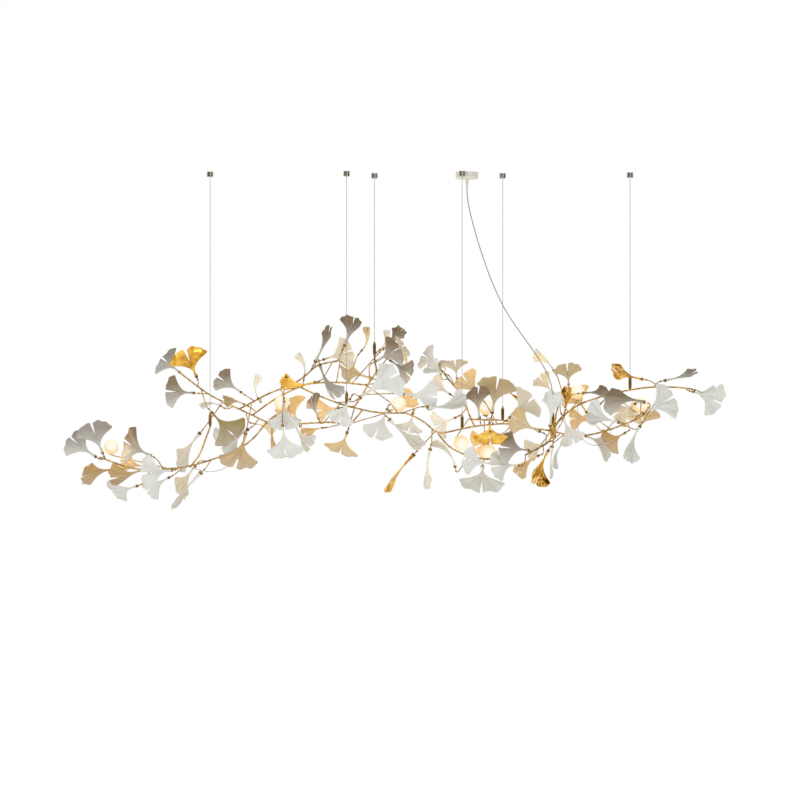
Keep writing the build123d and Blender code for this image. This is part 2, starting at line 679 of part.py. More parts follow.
def rose_parts():
    top = (Align.CENTER, Align.CENTER, Align.MAX)
    inner = ROSE_DIA / 2 - ROSE_WALL
    plate = Cylinder(inner - SEAT_GAP, ROSE_PLATE, align=top)
    plate -= Cylinder(ROSE_WIRE_HOLE_DIA / 2, ROSE_PLATE, align=top)
    for x in (-ROSE_SCREW_SPACING / 2, ROSE_SCREW_SPACING / 2):
        plate -= Pos(x, 0, 0) * Cylinder(ROSE_SCREW_HOLE_DIA / 2, ROSE_PLATE, align=top)
    cover = Cylinder(ROSE_DIA / 2, ROSE_HEIGHT, align=top)
    cover = fillet(cover.edges().sort_by(Axis.Z)[0], 3 * ROSE_WALL)
    hollow = Cylinder(inner, ROSE_HEIGHT - ROSE_WALL, align=top)
    cover -= fillet(hollow.edges().sort_by(Axis.Z)[0], 2 * ROSE_WALL)
    cover -= Cylinder(GRIP_DIA / 2 + RUNNING_FIT, ROSE_HEIGHT, align=top)
    terminal = Pos(0, (ROSE_WIRE_HOLE_DIA + TERMINAL_DEPTH) / 2 + 1, -ROSE_PLATE) * Box(
        TERMINAL_WIDTH, TERMINAL_DEPTH, TERMINAL_HEIGHT, align=top
    )
    floor_z = -ROSE_HEIGHT + ROSE_WALL
    grip = Pos(0, 0, floor_z + GRIP_FLANGE) * Cylinder(GRIP_FLANGE_DIA / 2, GRIP_FLANGE, align=top)
    grip += Pos(0, 0, floor_z) * Cylinder(GRIP_DIA / 2, ROSE_WALL, align=top)
    grip += Pos(0, 0, -ROSE_HEIGHT) * Cone(GRIP_TIP_DIA / 2, GRIP_DIA / 2, GRIP_TAIL, align=top)
    return {
        "rose_plate": plate,
        "rose_cover": cover,
        "rose_terminal_block": terminal,
        "rose_cord_grip": grip,
    }


def knot_parts(room):
    """Turned hub where the right-hand branches meet, and the gland where the cord goes in."""
    base = (Align.CENTER, Align.CENTER, Align.MIN)
    hub = Pos(KNOT[0], KNOT[1], KNOT[2] - HUB_HEIGHT / 2) * Cylinder(HUB_DIA / 2, HUB_HEIGHT, align=base)
    hub = fillet(hub.edges(), HUB_DIA / 8)
    hub_top = KNOT[2] + HUB_HEIGHT / 2
    gland = Pos(KNOT[0], KNOT[1], hub_top) * Cone(
        GLAND_DIA / 2, CORD_DIA / 2 + GLAND_WALL, CORD_ROUTE[-1][2] - hub_top, align=base
    )
    heights = np.linspace(-HUB_HEIGHT / 2, CORD_ROUTE[-1][2] - KNOT[2], 9)
    room.add("bodies", np.array(KNOT) + np.outer(heights, (0, 0, 1)), HUB_DIA / 2)
    return hub, gland


def cable_feet(rod_points):
    """The rod point under each cable."""
    feet = []
    for rod, x in CABLES:
        points = rod_points[rod]
        feet.append(points[np.abs(points[:, 0] - x).argmin()])
    return feet


def hang_cables(room, rod_points, rods):
    """Cups, cables, grippers and plungers, and the room that they take among the leaves."""
    body, plunger = gripper_solids()
    nodes = {}
    cups = []
    grippers = []
    for number, foot in enumerate(cable_feet(rod_points), 1):
        rod = CABLES[number - 1][0]
        cups.append(Pos(foot[0], foot[1], 0) * cup_solid())
        grippers.append(Pos(*foot) * body - rods[rod])
        nodes[f"cable_{number}"] = cable_solid(foot)
        nodes[f"gripper_plunger_{number}"] = Pos(*foot) * plunger
        heights = np.arange(0, CABLE_KEEP_CLEAR, ROD_STEP)
        room.add("bodies", foot + np.outer(heights, (0, 0, 1)), GRIPPER_DIA / 2)
        print(f"cable {number} at", [round(float(v), 2) for v in foot])
    nodes["ceiling_cups"] = Compound(children=cups)
    nodes["cable_grippers"] = Compound(children=grippers)
    return nodes


def twig_roots(rod_points):
    """Rod points where a twig may start: clear of the grippers."""
    feet = np.array(cable_feet(rod_points))
    roots = {}
    for name, points in rod_points.items():
        gaps = np.linalg.norm(points[:, None] - feet[None], axis=2).min(axis=1)
        roots[name] = points[gaps > 2 * GRIPPER_DIA]
    return roots


def take_root(roots, rod, root):
    """Later twigs start clear of this one."""
    gaps = np.linalg.norm(roots[rod] - root, axis=1)
    roots[rod] = roots[rod][gaps > ROOT_SPACING]


def set_lamps(room, roots):
    """Lamps in their holders, and a twig for each holder as (rod, twig)."""
    lamp, cap_z, end_z = lamp_solid()
    holder, tail_z = holder_solid(end_z)
    nodes = {}
    holders = []
    twigs = []
    for number, (centre, toward) in enumerate(LAMPS, 1):
        along = unit(toward)
        place = Plane(origin=centre, z_dir=tuple(along)).location
        nodes[f"globe_lamp_{number}"] = place * lamp
        holders.append(place * holder)
        centre = np.array(centre, float)
        room.add("bodies", centre, GLOBE_DIA / 2 - LEAF_STEP / 2)
        room.add("bodies", centre + np.outer(np.arange(tail_z, cap_z, ROD_STEP), along), HOLDER_DIA / 2)
        rod, route = twig_points(roots, centre + along * tail_z, along)
        twigs.append((rod, tube(twig_path(route), TWIG_DIA)))
        room.add("twigs", path_points(twig_path(route), ROD_STEP), TWIG_DIA / 2)
        take_root(roots, rod, route[0])
        print(f"lamp {number} axis", [round(float(v), 4) for v in along])
    nodes["lampholders"] = Compound(children=holders)
    return nodes, twigs


def keep_cords_clear(room):
    room.add("bodies", path_points(tube_path(CORD_ROUTE), ROD_STEP), CORD_DIA / 2)
    for route in FEED_WIRES.values():
        room.add("bodies", path_points(tube_path(route), ROD_STEP)[3:-3], FEED_WIRE_DIA / 2)


def grow_leaves(room, roots):
    """Settles every leaf in turn, the gilded ones first: zone, seat, neck, rod, twig route, axes."""
    samples = {name: leaf_samples(form) for name, form in FORMS.items()}
    for zone in sorted(LEAVES, key=lambda zone: "gilded" not in zone):
        for seat in LEAVES[zone]:
            found, along, facing = settle(seat, samples[seat.form], roots, room)
            spare, neck, rod, route, leaf_points, stem = found
            room.add("bodies", leaf_points, LEAF_WALL / 2)
            room.add("twigs", stem, TWIG_DIA / 2)
            take_root(roots, rod, route[0])
            moved = neck[1] - seat.depth
            if spare < LEAF_CLEARANCE or abs(moved) > 4 * DEPTH_STEP:
                print(f"{zone} leaf at {seat.x}, {seat.z}: moved {moved:.0f} in depth, room {spare:.1f}")
            yield zone, seat, neck, rod, route, along, facing


def collar_solid(neck, along, size):
    """Brass collar, face to face with the leaf's neck."""
    place = Plane(origin=tuple(neck - along * COLLAR_LENGTH), z_dir=tuple(along)).location
    return place * Cylinder(
        size * LEAF_NECK_DIA / 2, COLLAR_LENGTH, align=(Align.CENTER, Align.CENTER, Align.MIN)
    )


def near(shape, others):
    reach = shape.bounding_box()
    return [other for other in others if reach.overlaps(other.bounding_box())]


def braze(pieces, hub):
    """Each branch with its twigs and collars in one, coped to the hub and the branches before it."""
    branches = {}
    done = [hub]
    for name, parts in pieces.items():
        branch = parts[0].fuse(*parts[1:]) if len(parts) > 1 else parts[0]
        cutters = near(branch, done)
        if cutters:
            branch = branch.cut(*cutters)
        kept = [s for s in solids_of(branch) if s.volume > TWIG_DIA**3]
        branches[name] = kept[0] if len(kept) == 1 else Compound(children=kept)
        done.append(branches[name])
    return branches


def feed_wire(route, branches):
    wire = tube(tube_path(route), FEED_WIRE_DIA)
    return max(solids_of(wire.cut(*near(wire, branches))), key=lambda s: s.volume)


def build():
    nodes = rose_parts()
    room = Room()
    rod_paths = {name: tube_path(points) for name, points in RODS.items()}
    rod_points = {name: path_points(path, ROD_STEP) for name, path in rod_paths.items()}
    rods = {name: tube(path, ROD_DIA) for name, path in rod_paths.items()}
    for points in rod_points.values():
        room.add("rods", points, ROD_DIA / 2)
    roots = twig_roots(rod_points)
    pieces = {name: [rod] for name, rod in rods.items()}

    hub, gland = knot_parts(room)
    nodes.update(hang_cables(room, rod_points, rods))
    lamps, lamp_twigs = set_lamps(room, roots)
    nodes.update(lamps)
    for rod, twig in lamp_twigs:
        pieces[rod].append(twig)
    keep_cords_clear(room)

    blades = {name: leaf_solid(form) for name, form in FORMS.items()}
    grown = {zone: [] for zone in LEAVES}
    for zone, seat, neck, rod, route, along, facing in grow_leaves(room, roots):
        size = seat.length / LEAF_LENGTH
        place = Plane(origin=tuple(neck), x_dir=tuple(along), z_dir=tuple(facing)).location
        grown[zone].append(place * scale(blades[seat.form], size))
        pieces[rod] += [tube(twig_path(route), TWIG_DIA), collar_solid(neck, along, size)]
    for zone, leaves in grown.items():
        nodes[f"{zone}_leaves"] = Compound(children=leaves)

    branches = braze(pieces, hub)
    nodes.update(branches)
    nodes["knot_hub"] = hub
    nodes["cord_gland"] = gland
    nodes["power_cord"] = tube(tube_path(CORD_ROUTE), CORD_DIA)
    for name, route in FEED_WIRES.items():
        nodes[name] = feed_wire(route, branches.values())
    for name, route in [("power_cord", CORD_ROUTE), *FEED_WIRES.items()]:
        length = round(tube_path(route).length, 1)
        print(name, "arc radii", [round(r) for r in corner_radii(route)], "length", length)
    return nodes


if __name__ == "__main__":
    os.makedirs("parts", exist_ok=True)
    for node, shape in build().items():
        export_step(shape, f"parts/{node}.step")
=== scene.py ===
"""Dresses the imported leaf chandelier: leaves, lamps, brass, cables, cords and a plain studio."""

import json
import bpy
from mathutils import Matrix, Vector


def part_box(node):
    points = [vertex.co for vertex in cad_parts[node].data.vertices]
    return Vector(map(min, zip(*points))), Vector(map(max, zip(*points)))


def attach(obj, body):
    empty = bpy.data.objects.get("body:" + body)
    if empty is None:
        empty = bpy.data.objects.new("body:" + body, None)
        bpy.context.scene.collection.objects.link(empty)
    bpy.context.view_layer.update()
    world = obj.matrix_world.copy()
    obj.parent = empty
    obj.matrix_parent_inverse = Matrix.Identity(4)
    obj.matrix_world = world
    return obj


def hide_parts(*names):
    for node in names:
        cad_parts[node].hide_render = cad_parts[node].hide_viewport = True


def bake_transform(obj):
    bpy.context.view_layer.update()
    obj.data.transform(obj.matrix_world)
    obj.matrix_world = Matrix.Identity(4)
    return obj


bl_info = {
    "name": "Porcelain Leaf Chandelier",
    "version": (1, 0, 0),
    "blender": (4, 5, 0),
    "location": "View3D > Sidebar > Chandelier",
    "description": "Builds the visible pieces of a branch chandelier of porcelain fan leaves",
    "category": "Object",
}

from math import cos, pi, radians, sin

import bpy
import numpy as np
from mathutils import Matrix

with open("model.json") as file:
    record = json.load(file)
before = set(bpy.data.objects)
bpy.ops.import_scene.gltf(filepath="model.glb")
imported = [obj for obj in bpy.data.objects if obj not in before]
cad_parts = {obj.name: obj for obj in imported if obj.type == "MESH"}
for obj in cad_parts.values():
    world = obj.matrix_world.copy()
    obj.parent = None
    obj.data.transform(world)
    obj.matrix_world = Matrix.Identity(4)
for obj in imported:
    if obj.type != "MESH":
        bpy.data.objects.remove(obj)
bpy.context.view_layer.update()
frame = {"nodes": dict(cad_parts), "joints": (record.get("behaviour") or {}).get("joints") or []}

# Leaf forms at a length of 100 mm: tilt of the shell's axis in degrees, then bend of the midrib,
# half width, where the corner lies and depth of the cleft, in millimetres
LEAF_FORMS = {
    "fan": (60, -230, 56, 72, 40),
    "cup": (42, 260, 46, 74, 30),
    "sickle": (66, 105, 33, 76, 26),
    "fold": (24, 300, 32, 70, 22),
    "slim": (62, 420, 34, 74, 28),
}
FORM_LENGTH = 100.0

# Shell that a leaf is cut from: a point on its axis, where its midrib starts and ends, and the
# degrees that it turns to each side
SHELL_AXIS = np.array([-10.0, 0.0, 14.0])
SHELL_START = -20.0
SHELL_RUN = 112.0
SHELL_SPAN = 80.0
SHELL_MARGIN = 0.5
HALVINGS = 40

# Outline of a leaf
NECK_RADIUS = 4.5
STALK_RADIUS = 2.7
STALK_END = 20.0
CLEFT_HALF = 3.5
CLEFT_BOW = 0.7
CORNER_ROUND = 8.0
RIM_SWELL = 6.0
FLARE_SHARE = 0.27

# Stalk of a leaf: radius and run of each ring, its tip, and the run after which it lies in the midrib
STALK_RINGS = [(4.4, 0), (4.5, 0.5), (3.9, 6), (3.2, 12), (2.8, 18), (2.3, 26), (1.7, 36), (1.0, 48)]
STALK_TIP = 50
STALK_RISE = 16
STALK_SIDES = 10

# Shares of a half leaf, from cleft to side: where the cleft's edge ends and where the corner begins
CLEFT_SHARE = 0.07
CORNER_SHARE = 0.88

# Share of a leaf's side that is its flare; the rest is half of its corner
SIDE_SHARE = 0.8

# Lobes of the rim, as shares of a leaf's reach: three to five of them across it, and a second wave
# of 11 radians over each half
LOBE_DEPTH = 0.018
LOBE_COUNTS = (3, 6)
SECOND_DEPTH = 0.010
SECOND_TURN = 11

# Waves of the rim out of its plane: how many across a leaf, and how late along it they rise
RIM_WAVES = (2.2, 3.8)
SWELL_POWER = 1.6
MERGE_DISTANCE = 2e-6

# Painted shade and light: a leaf's tone pales to white at this pace down the leaf, less the offset
PAINTED_SHADE_PACE = 1.5
PAINTED_SHADE_OFFSET = 0.35

# Neck face of a packed leaf: limits of its radius in metres, the least triangle that counts, how flat
# and how round it has to be, and how many groups of faces are tried
NECK_REACH = (0.002, 0.008)
LEAST_AREA = 1e-11
SAME_NORMAL = 0.9995
SAME_PLANE = 5e-5
LEAST_ROUNDNESS = 0.8
FACES_TRIED = 500

# Forms are told apart at a length of 100 mm by half width, lift of the tip and curl of the sides; the
# tip is what lies past a share of the reach
FAN_WIDTH = 51
CUP_WIDTH = 40
SICKLE_LIFT = 30
FOLD_CURL = 0.011
TIP_SHARE = 0.85

# Where a leaf's middle drifts less than this along both side axes, the wider one lies across it
EVEN_DRIFT = 1.5

# Tone of each leaf in a stretch, in the order of its solids; apart from white and pale the tones are
# mostly painted light and shade
GLAZE_AND_LIGHT_TONES = {
    "w": "white", "p": "pale", "g": "grey", "b": "taupe", "t": "tan",
    "c": "cream", "o": "amber", "l": "olive", "h": "honey",
}
FULL_SHADE_TONES = "gbp"
FIRST_SEED = 7
GLAZE_AND_LIGHT_ORDER = {
    "left_tip": "ggbohhwwwp",
    "left_arm": "cpgbblwphcwt",
    "mid_left": "pbgbwwhwoowoo",
    "crown": "wbcttbgpbccwo",
    "centre_left": "wpwwwwpcpwwbp",
    "centre": "toptowwwbop",
    "knot": "wtccboppwwoo",
    "right_tip": "bwwwwgcchwt",
    "left_gilded": "www",
    "right_gilded": "wwwww",
}
BRANCH_ENDINGS = ("_branch", "_riser", "_bridge", "_spur")

# Turned profiles, radius and height in millimetres
FERRULE_PROFILE = [(0, -2.1), (1.2, -1.8), (1.9, -1.0), (2.15, 0), (1.9, 1.0), (1.2, 1.8), (0, 2.1)]
BEAD_PROFILE = [(0, -4.2), (2.2, -4.2), (4.9, -3.4), (5.3, -1.2), (4.5, 0.2), (4.9, 0.9), (0, 0.9)]

# The second bead behind a leaf: how far back it sits, in metres, and its size against the profile
BEAD_BACK = 0.0155
BEAD_SIZE = 0.56

# Lamp: rings of its glass, sides of its turnings, turns of its thread and their share of the cap
GLASS_RINGS = 24
LAMP_SIDES = 40
THREAD_TURNS = 6
THREAD_SHARE = 0.8
LAMP_LIGHT = "FFDCA4"

# Routes in metres
POWER_CORD_ROUTE = [
    (0, 0, -0.040), (0, 0, -0.073), (0.007, 0, -0.113), (0.019, 0, -0.160), (0.033, 0, -0.210),
    (0.050, 0, -0.262), (0.069, 0, -0.316), (0.092, 0, -0.370), (0.120, 0, -0.424),
    (0.154, 0, -0.474), (0.189, 0, -0.522), (0.222, 0, -0.569), (0.247, 0, -0.616),
    (0.258, 0, -0.662), (0.258, 0, -0.708),
]
FEED_WIRE_ROUTES = {
    "left_feed_wire": [
        (-0.831, 0, -0.885), (-0.792, 0.002, -0.899), (-0.753, 0.006, -0.899),
        (-0.720, 0.014, -0.886), (-0.697, 0.024, -0.862), (-0.690, 0.030, -0.837),
    ],
    "right_feed_wire": [
        (0.333, 0.020, -0.699), (0.333, 0.004, -0.732), (0.329, -0.024, -0.764),
        (0.338, -0.044, -0.794), (0.360, -0.054, -0.816), (0.388, -0.057, -0.822),
        (0.414, -0.050, -0.806), (0.432, -0.040, -0.771),
    ],
}

# The photograph's middle, and the width that it shows at the branch
VIEW_MIDDLE = (-0.201, -0.684)
VIEW_WIDTH = 2.4
VIEW_DISTANCE = 11.0
SENSOR_WIDTH = 36.0
FLOOR_HEIGHT = -2.4
FLOOR_CORNERS = [(-4, -4), (3.6, -4), (3.6, 3), (-4, 3)]
FLOOR_LIFT = 0.38
WHITE = (1, 1, 1, 1)

# Name, place, size and power of the studio's two soft lamps
STUDIO_LAMPS = [
    ("key_low", (-1.6, -3.2, -1.5), 1.7, 30),
    ("fill_front", (1.6, -4.5, -0.4), 3.0, 24),
]


def linear(hex_text):
    """Linear colour of an sRGB hex value."""
    shares = [int(hex_text[i:i + 2], 16) / 255 for i in (0, 2, 4)]
    return [s / 12.92 if s <= 0.04045 else ((s + 0.055) / 1.055) ** 2.4 for s in shares]


def opaque(colour):
    """The colour with full alpha."""
    return (*colour, 1.0)


def join(tree, node, links):
    """Links sockets to a node's inputs, or gives an input its plain value."""
    for key, value in links.items():
        if isinstance(value, bpy.types.NodeSocket):
            tree.links.new(value, node.inputs[key])
        else:
            node.inputs[key].default_value = value


def add_node(tree, kind, links=None, stops=(), **settings):
    """Adds a node with its settings; links maps its inputs to sockets or plain values.

    Stops are a colour ramp's places with their hex colours: the first, the last, then the others.
    """
    made = tree.nodes.new(kind)
    for name, value in settings.items():
        setattr(made, name, value)
    for n, (place, colour) in enumerate(stops):
        ramp = made.color_ramp.elements
        stop = ramp[n] if n < 2 else ramp.new(place)
        stop.position = place
        stop.color = opaque(linear(colour))
    join(tree, made, links or {})
    return made


# Kinds of node that the trees use often
MATH = "ShaderNodeMath"
NOISE = "ShaderNodeTexNoise"
RANGE = "ShaderNodeMapRange"
RAMP = "ShaderNodeValToRGB"
BUMP = "ShaderNodeBump"
BACKGROUND = "ShaderNodeBackground"
ATTRIBUTE = "GeometryNodeInputNamedAttribute"


# Sizes and colours that a user would change

class LeafSizes(bpy.types.PropertyGroup):
    wall: bpy.props.FloatProperty(
        name="Wall", description="Thickness of the porcelain", default=0.0024, unit="LENGTH"
    )
    ribs: bpy.props.IntProperty(name="Ribs", description="Ridges across a leaf", default=9)
    rib_depth: bpy.props.FloatProperty(
        name="Rib depth", description="Height of a ridge at the rim", default=0.00025, unit="LENGTH"
    )
    ruffle: bpy.props.FloatProperty(
        name="Ruffle", description="Height of the waves along the rim", default=0.0022, unit="LENGTH"
    )
    rows: bpy.props.IntProperty(name="Rows", description="Rows of faces from stalk to rim", default=30)
    columns: bpy.props.IntProperty(name="Columns", description="Columns of faces across", default=52)


class CordSizes(bpy.types.PropertyGroup):
    cable: bpy.props.FloatProperty(
        name="Cable", description="Diameter of a steel cable", default=0.0015, unit="LENGTH"
    )
    cord: bpy.props.FloatProperty(
        name="Power cord", description="Diameter of the power cord", default=0.0032, unit="LENGTH"
    )
    feed_wire: bpy.props.FloatProperty(
        name="Feed wire", description="Diameter of a feed wire", default=0.0016, unit="LENGTH"
    )


class LampSizes(bpy.types.PropertyGroup):
    globe: bpy.props.FloatProperty(
        name="Globe", description="Diameter of the opal globe", default=0.045, unit="LENGTH"
    )
    neck: bpy.props.FloatProperty(
        name="Neck", description="Diameter where the globe meets its neck", default=0.019, unit="LENGTH"
    )
    cap: bpy.props.FloatProperty(
        name="Cap", description="Diameter of the screw cap", default=0.014, unit="LENGTH"
    )
    neck_length: bpy.props.FloatProperty(
        name="Neck length", description="Length of the neck", default=0.007, unit="LENGTH"
    )
    cap_length: bpy.props.FloatProperty(
        name="Cap length", description="Length of the screw cap", default=0.020, unit="LENGTH"
    )
    glow: bpy.props.FloatProperty(
        name="Glow", description="Power of the light that leaves each globe", default=0.35, unit="POWER"
    )


# Leaf tones: white and pale are the porcelain's own glaze; the others are partly glaze and mostly
# painted light and shade, grey and taupe painting shade, cream, amber, tan, honey and olive painting
# the lamps' warm light
class GlazeAndPaintedLightColours(bpy.types.PropertyGroup):
    white: bpy.props.FloatVectorProperty(
        name="White", description="Cool white glaze", subtype="COLOR", default=linear("EAEEEC")
    )
    pale: bpy.props.FloatVectorProperty(
        name="Pale", description="Pale ivory glaze", subtype="COLOR", default=linear("ECE8DE")
    )
    # Painted shade, partly: this grey and the taupe below stand for leaves in shade
    grey: bpy.props.FloatVectorProperty(
        name="Stone grey", description="Stone grey glaze", subtype="COLOR", default=linear("A39D95")
    )
    taupe: bpy.props.FloatVectorProperty(
        name="Taupe", description="Grey brown glaze", subtype="COLOR", default=linear("917F69")
    )
    tan: bpy.props.FloatVectorProperty(
        name="Tan", description="Tan glaze", subtype="COLOR", default=linear("D0BA90")
    )
    cream: bpy.props.FloatVectorProperty(
        name="Cream", description="Cream glaze", subtype="COLOR", default=linear("F6EAD0")
    )
    # Painted lamp light: the warm tone of a leaf beside a lamp
    amber: bpy.props.FloatVectorProperty(
        name="Amber", description="Warm cream glaze near a lamp",
        subtype="COLOR", default=linear("F5D49C"),
    )
    olive: bpy.props.FloatVectorProperty(
        name="Olive", description="Olive tan glaze", subtype="COLOR", default=linear("A6925F")
    )
    honey: bpy.props.FloatVectorProperty(
        name="Honey", description="Golden tan glaze", subtype="COLOR", default=linear("CDAA70")
    )
    # Painted shade and light: how far a leaf's tone pales to white towards its lower edge, darker at
    # its top
    fade: bpy.props.FloatProperty(
        name="Fade", description="How far a glaze thins to white at a leaf's lower edge",
        default=0.66, subtype="FACTOR",
    )


# Meshes

def new_piece(name, data, material=None):
    """Object in the scene with a mesh, curve, light or camera as its data."""
    piece = bpy.data.objects.new(name, data)
    bpy.context.scene.collection.objects.link(piece)
    if material is not None:
        data.materials.append(material)
    return piece


def mesh_of(name, points, faces, angle=None):
    """Plain mesh of points and faces, smooth up to an angle where one is given."""
    mesh = bpy.data.meshes.new(name)
    mesh.from_pydata(np.asarray(points).tolist(), [], faces)
    if angle is not None:
        smooth(mesh, angle)
    return mesh


def store(mesh, key, values, kind="FLOAT", field="value"):
    """Keeps a value for each point of a mesh under a name that materials and trees can read."""
    mesh.attributes.new(key, kind, "POINT").data.foreach_set(field, values)


def baked(source, name):
    """Plain mesh of an object with its modifiers run; the modifiers and the object are removed."""
    bpy.context.view_layer.update()
    graph = bpy.context.evaluated_depsgraph_get()
    mesh = bpy.data.meshes.new_from_object(source.evaluated_get(graph))
    mesh.name = name
    source.modifiers.clear()
    bpy.data.objects.remove(source)
    return mesh


def lathe(profile, segments):
    """Points and faces of a closed turning about +Z; the profile runs from pole to pole."""
    points = [(0, 0, profile[0][1])]
    faces = []
    for radius, height in profile[1:-1]:
        for n in range(segments):
            turn = 2 * pi * n / segments
            points.append((radius * cos(turn), radius * sin(turn), height))
    points.append((0, 0, profile[-1][1]))
    rings = len(profile) - 2
    last = len(points) - 1
    for n in range(segments):
        after = (n + 1) % segments
        faces.append((0, 1 + after, 1 + n))
        for ring in range(rings - 1):
            low, high = 1 + ring * segments, 1 + (ring + 1) * segments
            faces.append((low + n, low + after, high + after, high + n))
        low = 1 + (rings - 1) * segments
        faces.append((low + n, low + after, last))
    return np.array(points), faces


def turned_axes(along):
    """Three unit axes with the last one along the given direction."""
    along = np.asarray(along, float) / np.linalg.norm(along)
    # Any axis that isn't near the direction
    helper = np.array([1.0, 0.0, 0.0]) if abs(along[0]) < 0.8 else np.array([0.0, 0.0, 1.0])
    first = np.cross(helper, along)
    first /= np.linalg.norm(first)
    return np.array([first, np.cross(along, first), along])


def smooth(mesh, angle):
    """Shades a mesh smooth, with sharp edges where it turns by more than the angle in degrees."""
    mesh.shade_smooth()
    mesh.set_sharp_from_angle(angle=radians(angle))


# Leaf seats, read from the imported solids

def shells_of(mesh):
    """Triangles of each connected solid in a CAD mesh, as corner points, in the solids' order."""
    points = np.empty(len(mesh.vertices) * 3)
    mesh.vertices.foreach_get("co", points)
    points = points.reshape(-1, 3)
    mesh.calc_loop_triangles()
    corners = np.empty(len(mesh.loop_triangles) * 3, np.int32)
    mesh.loop_triangles.foreach_get("vertices", corners)
    # Points are merged to the micrometre
    keys, merged = np.unique(np.round(points * 1e6), axis=0, return_inverse=True)
    merged = merged.ravel()
    triangles = merged[corners].reshape(-1, 3)
    first_use = np.full(len(keys), len(points))
    np.minimum.at(first_use, merged, np.arange(len(points)))
    label = np.arange(len(keys))
    settled = False
    while not settled:
        lowest = label[triangles].min(axis=1)
        after = label.copy()
        np.minimum.at(after, triangles.ravel(), np.repeat(lowest, 3))
        after = after[after]
        settled = (after == label).all()
        label = after
    owner = label[triangles[:, 0]]
    shells = []
    for name in np.unique(owner):
        own = triangles[owner == name]
        shells.append((first_use[own].min(), keys[own] / 1e6))
    return [shell for start, shell in sorted(shells, key=lambda item: item[0])]


def neck_disc(shell):
    """Centre, outward normal and radius of the flat round face where a leaf meets its collar."""
    normals = np.cross(shell[:, 1] - shell[:, 0], shell[:, 2] - shell[:, 0])
    areas = np.linalg.norm(normals, axis=1) / 2
    keep = areas > LEAST_AREA
    shell = shell[keep]
    areas = areas[keep]
    normals = normals[keep] / (2 * areas[:, None])
    centres = shell.mean(axis=1)
    offsets = (normals * centres).sum(axis=1)
    # Faces are grouped by their normal and by their plane, to half a millimetre
    groups = np.round(np.column_stack([normals * 50, offsets * 2000]))
    which = np.unique(groups, axis=0, return_inverse=True)[1].ravel()
    totals = np.bincount(which, areas)
    best = (0.0, None, None, None)
    for group in np.argsort(-totals)[:FACES_TRIED]:
        pick = np.flatnonzero(which == group)
        lead = pick[areas[pick].argmax()]
        level = np.abs(centres @ normals[lead] - offsets[lead]) < SAME_PLANE
        flat = (normals @ normals[lead] > SAME_NORMAL) & level
        area = areas[flat].sum()
        middle = (centres[flat] * areas[flat, None]).sum(axis=0) / area
        reach = np.linalg.norm(shell[flat].reshape(-1, 3) - middle, axis=1).max()
        roundness = area / (pi * reach**2)
        if NECK_REACH[0] < reach < NECK_REACH[1] and roundness > best[0]:
            best = (roundness, middle, normals[lead], reach)
    if best[0] < LEAST_ROUNDNESS:
        raise RuntimeError("a leaf has no round neck face")
    return best[1:]


def leaf_seat(shell):
    """Neck, axes along, across and facing, size against 100 mm, and form of one leaf solid."""
    neck, outward, radius = neck_disc(shell)
    along = -outward
    size = radius * 1000 / NECK_RADIUS
    local = (shell - neck) * 1000 / size
    normals = np.cross(local[:, 1] - local[:, 0], local[:, 2] - local[:, 0])
    areas = np.linalg.norm(normals, axis=1) / 2
    aside = local - (local @ along)[..., None] * along
    sums = aside.sum(axis=1)
    moment = np.einsum("n,nij,nik->jk", areas, aside, aside)
    moment += np.einsum("n,nj,nk->jk", areas, sums, sums)
    axes = np.linalg.eigh(moment)[1][:, 1:].T
    drift = np.abs(axes @ (sums * areas[:, None]).sum(axis=0)) / (3 * areas.sum())
    across = axes[1] if drift.max() < EVEN_DRIFT else axes[drift.argmin()]
    facing = np.cross(along, across)
    middle = local.mean(axis=1)
    x, y, z = middle @ along, middle @ across, middle @ facing
    weight = np.sqrt(areas)
    columns = np.column_stack([np.ones_like(x), x, x * x, y * y])
    fit = np.linalg.lstsq(columns * weight[:, None], z * weight, rcond=None)[0]
    if fit[3] < 0:
        facing = -facing
        fit = -fit
    across = np.cross(facing, along)
    half_width = np.abs(local @ across).max()
    reach = local @ along
    tip = (local @ facing)[reach > TIP_SHARE * reach.max()].mean()
    if half_width > FAN_WIDTH:
        form = "fan"
    elif half_width > CUP_WIDTH:
        form = "cup"
    elif tip > SICKLE_LIFT:
        form = "sickle"
    else:
        form = "fold" if fit[3] > FOLD_CURL else "slim"
    return neck, along, across, facing, size, form


# Leaf shapes

# What each point of a leaf knows: its shares along and across, whether it is on the stalk, and the
# leaf's own waves and size
SHARES = ("along", "across", "stalk", "phase", "waves", "size")


def through(start, middle, end, share):
    """Points on a smooth bow from start to end that passes through the middle."""
    start, middle, end = (np.asarray(p, float) for p in (start, middle, end))
    pull = 2 * middle - (start + end) / 2
    share = share[:, None]
    return start * (1 - share) ** 2 + pull * 2 * share * (1 - share) + end * share**2


def leaf_corner(form, share):
    """Rounded corner of half a leaf, from the end of its rim (0) to the end of its flared side (1)."""
    half_width, corner = LEAF_FORMS[form][2:4]
    rim_start = (corner + CORNER_ROUND, half_width - CORNER_ROUND * 3 / 8)
    corner_top = (corner + CORNER_ROUND / 8, half_width)
    side_end = (corner - CORNER_ROUND / 2, half_width - CORNER_ROUND * 3 / 4)
    return through(rim_start, corner_top, side_end, share)


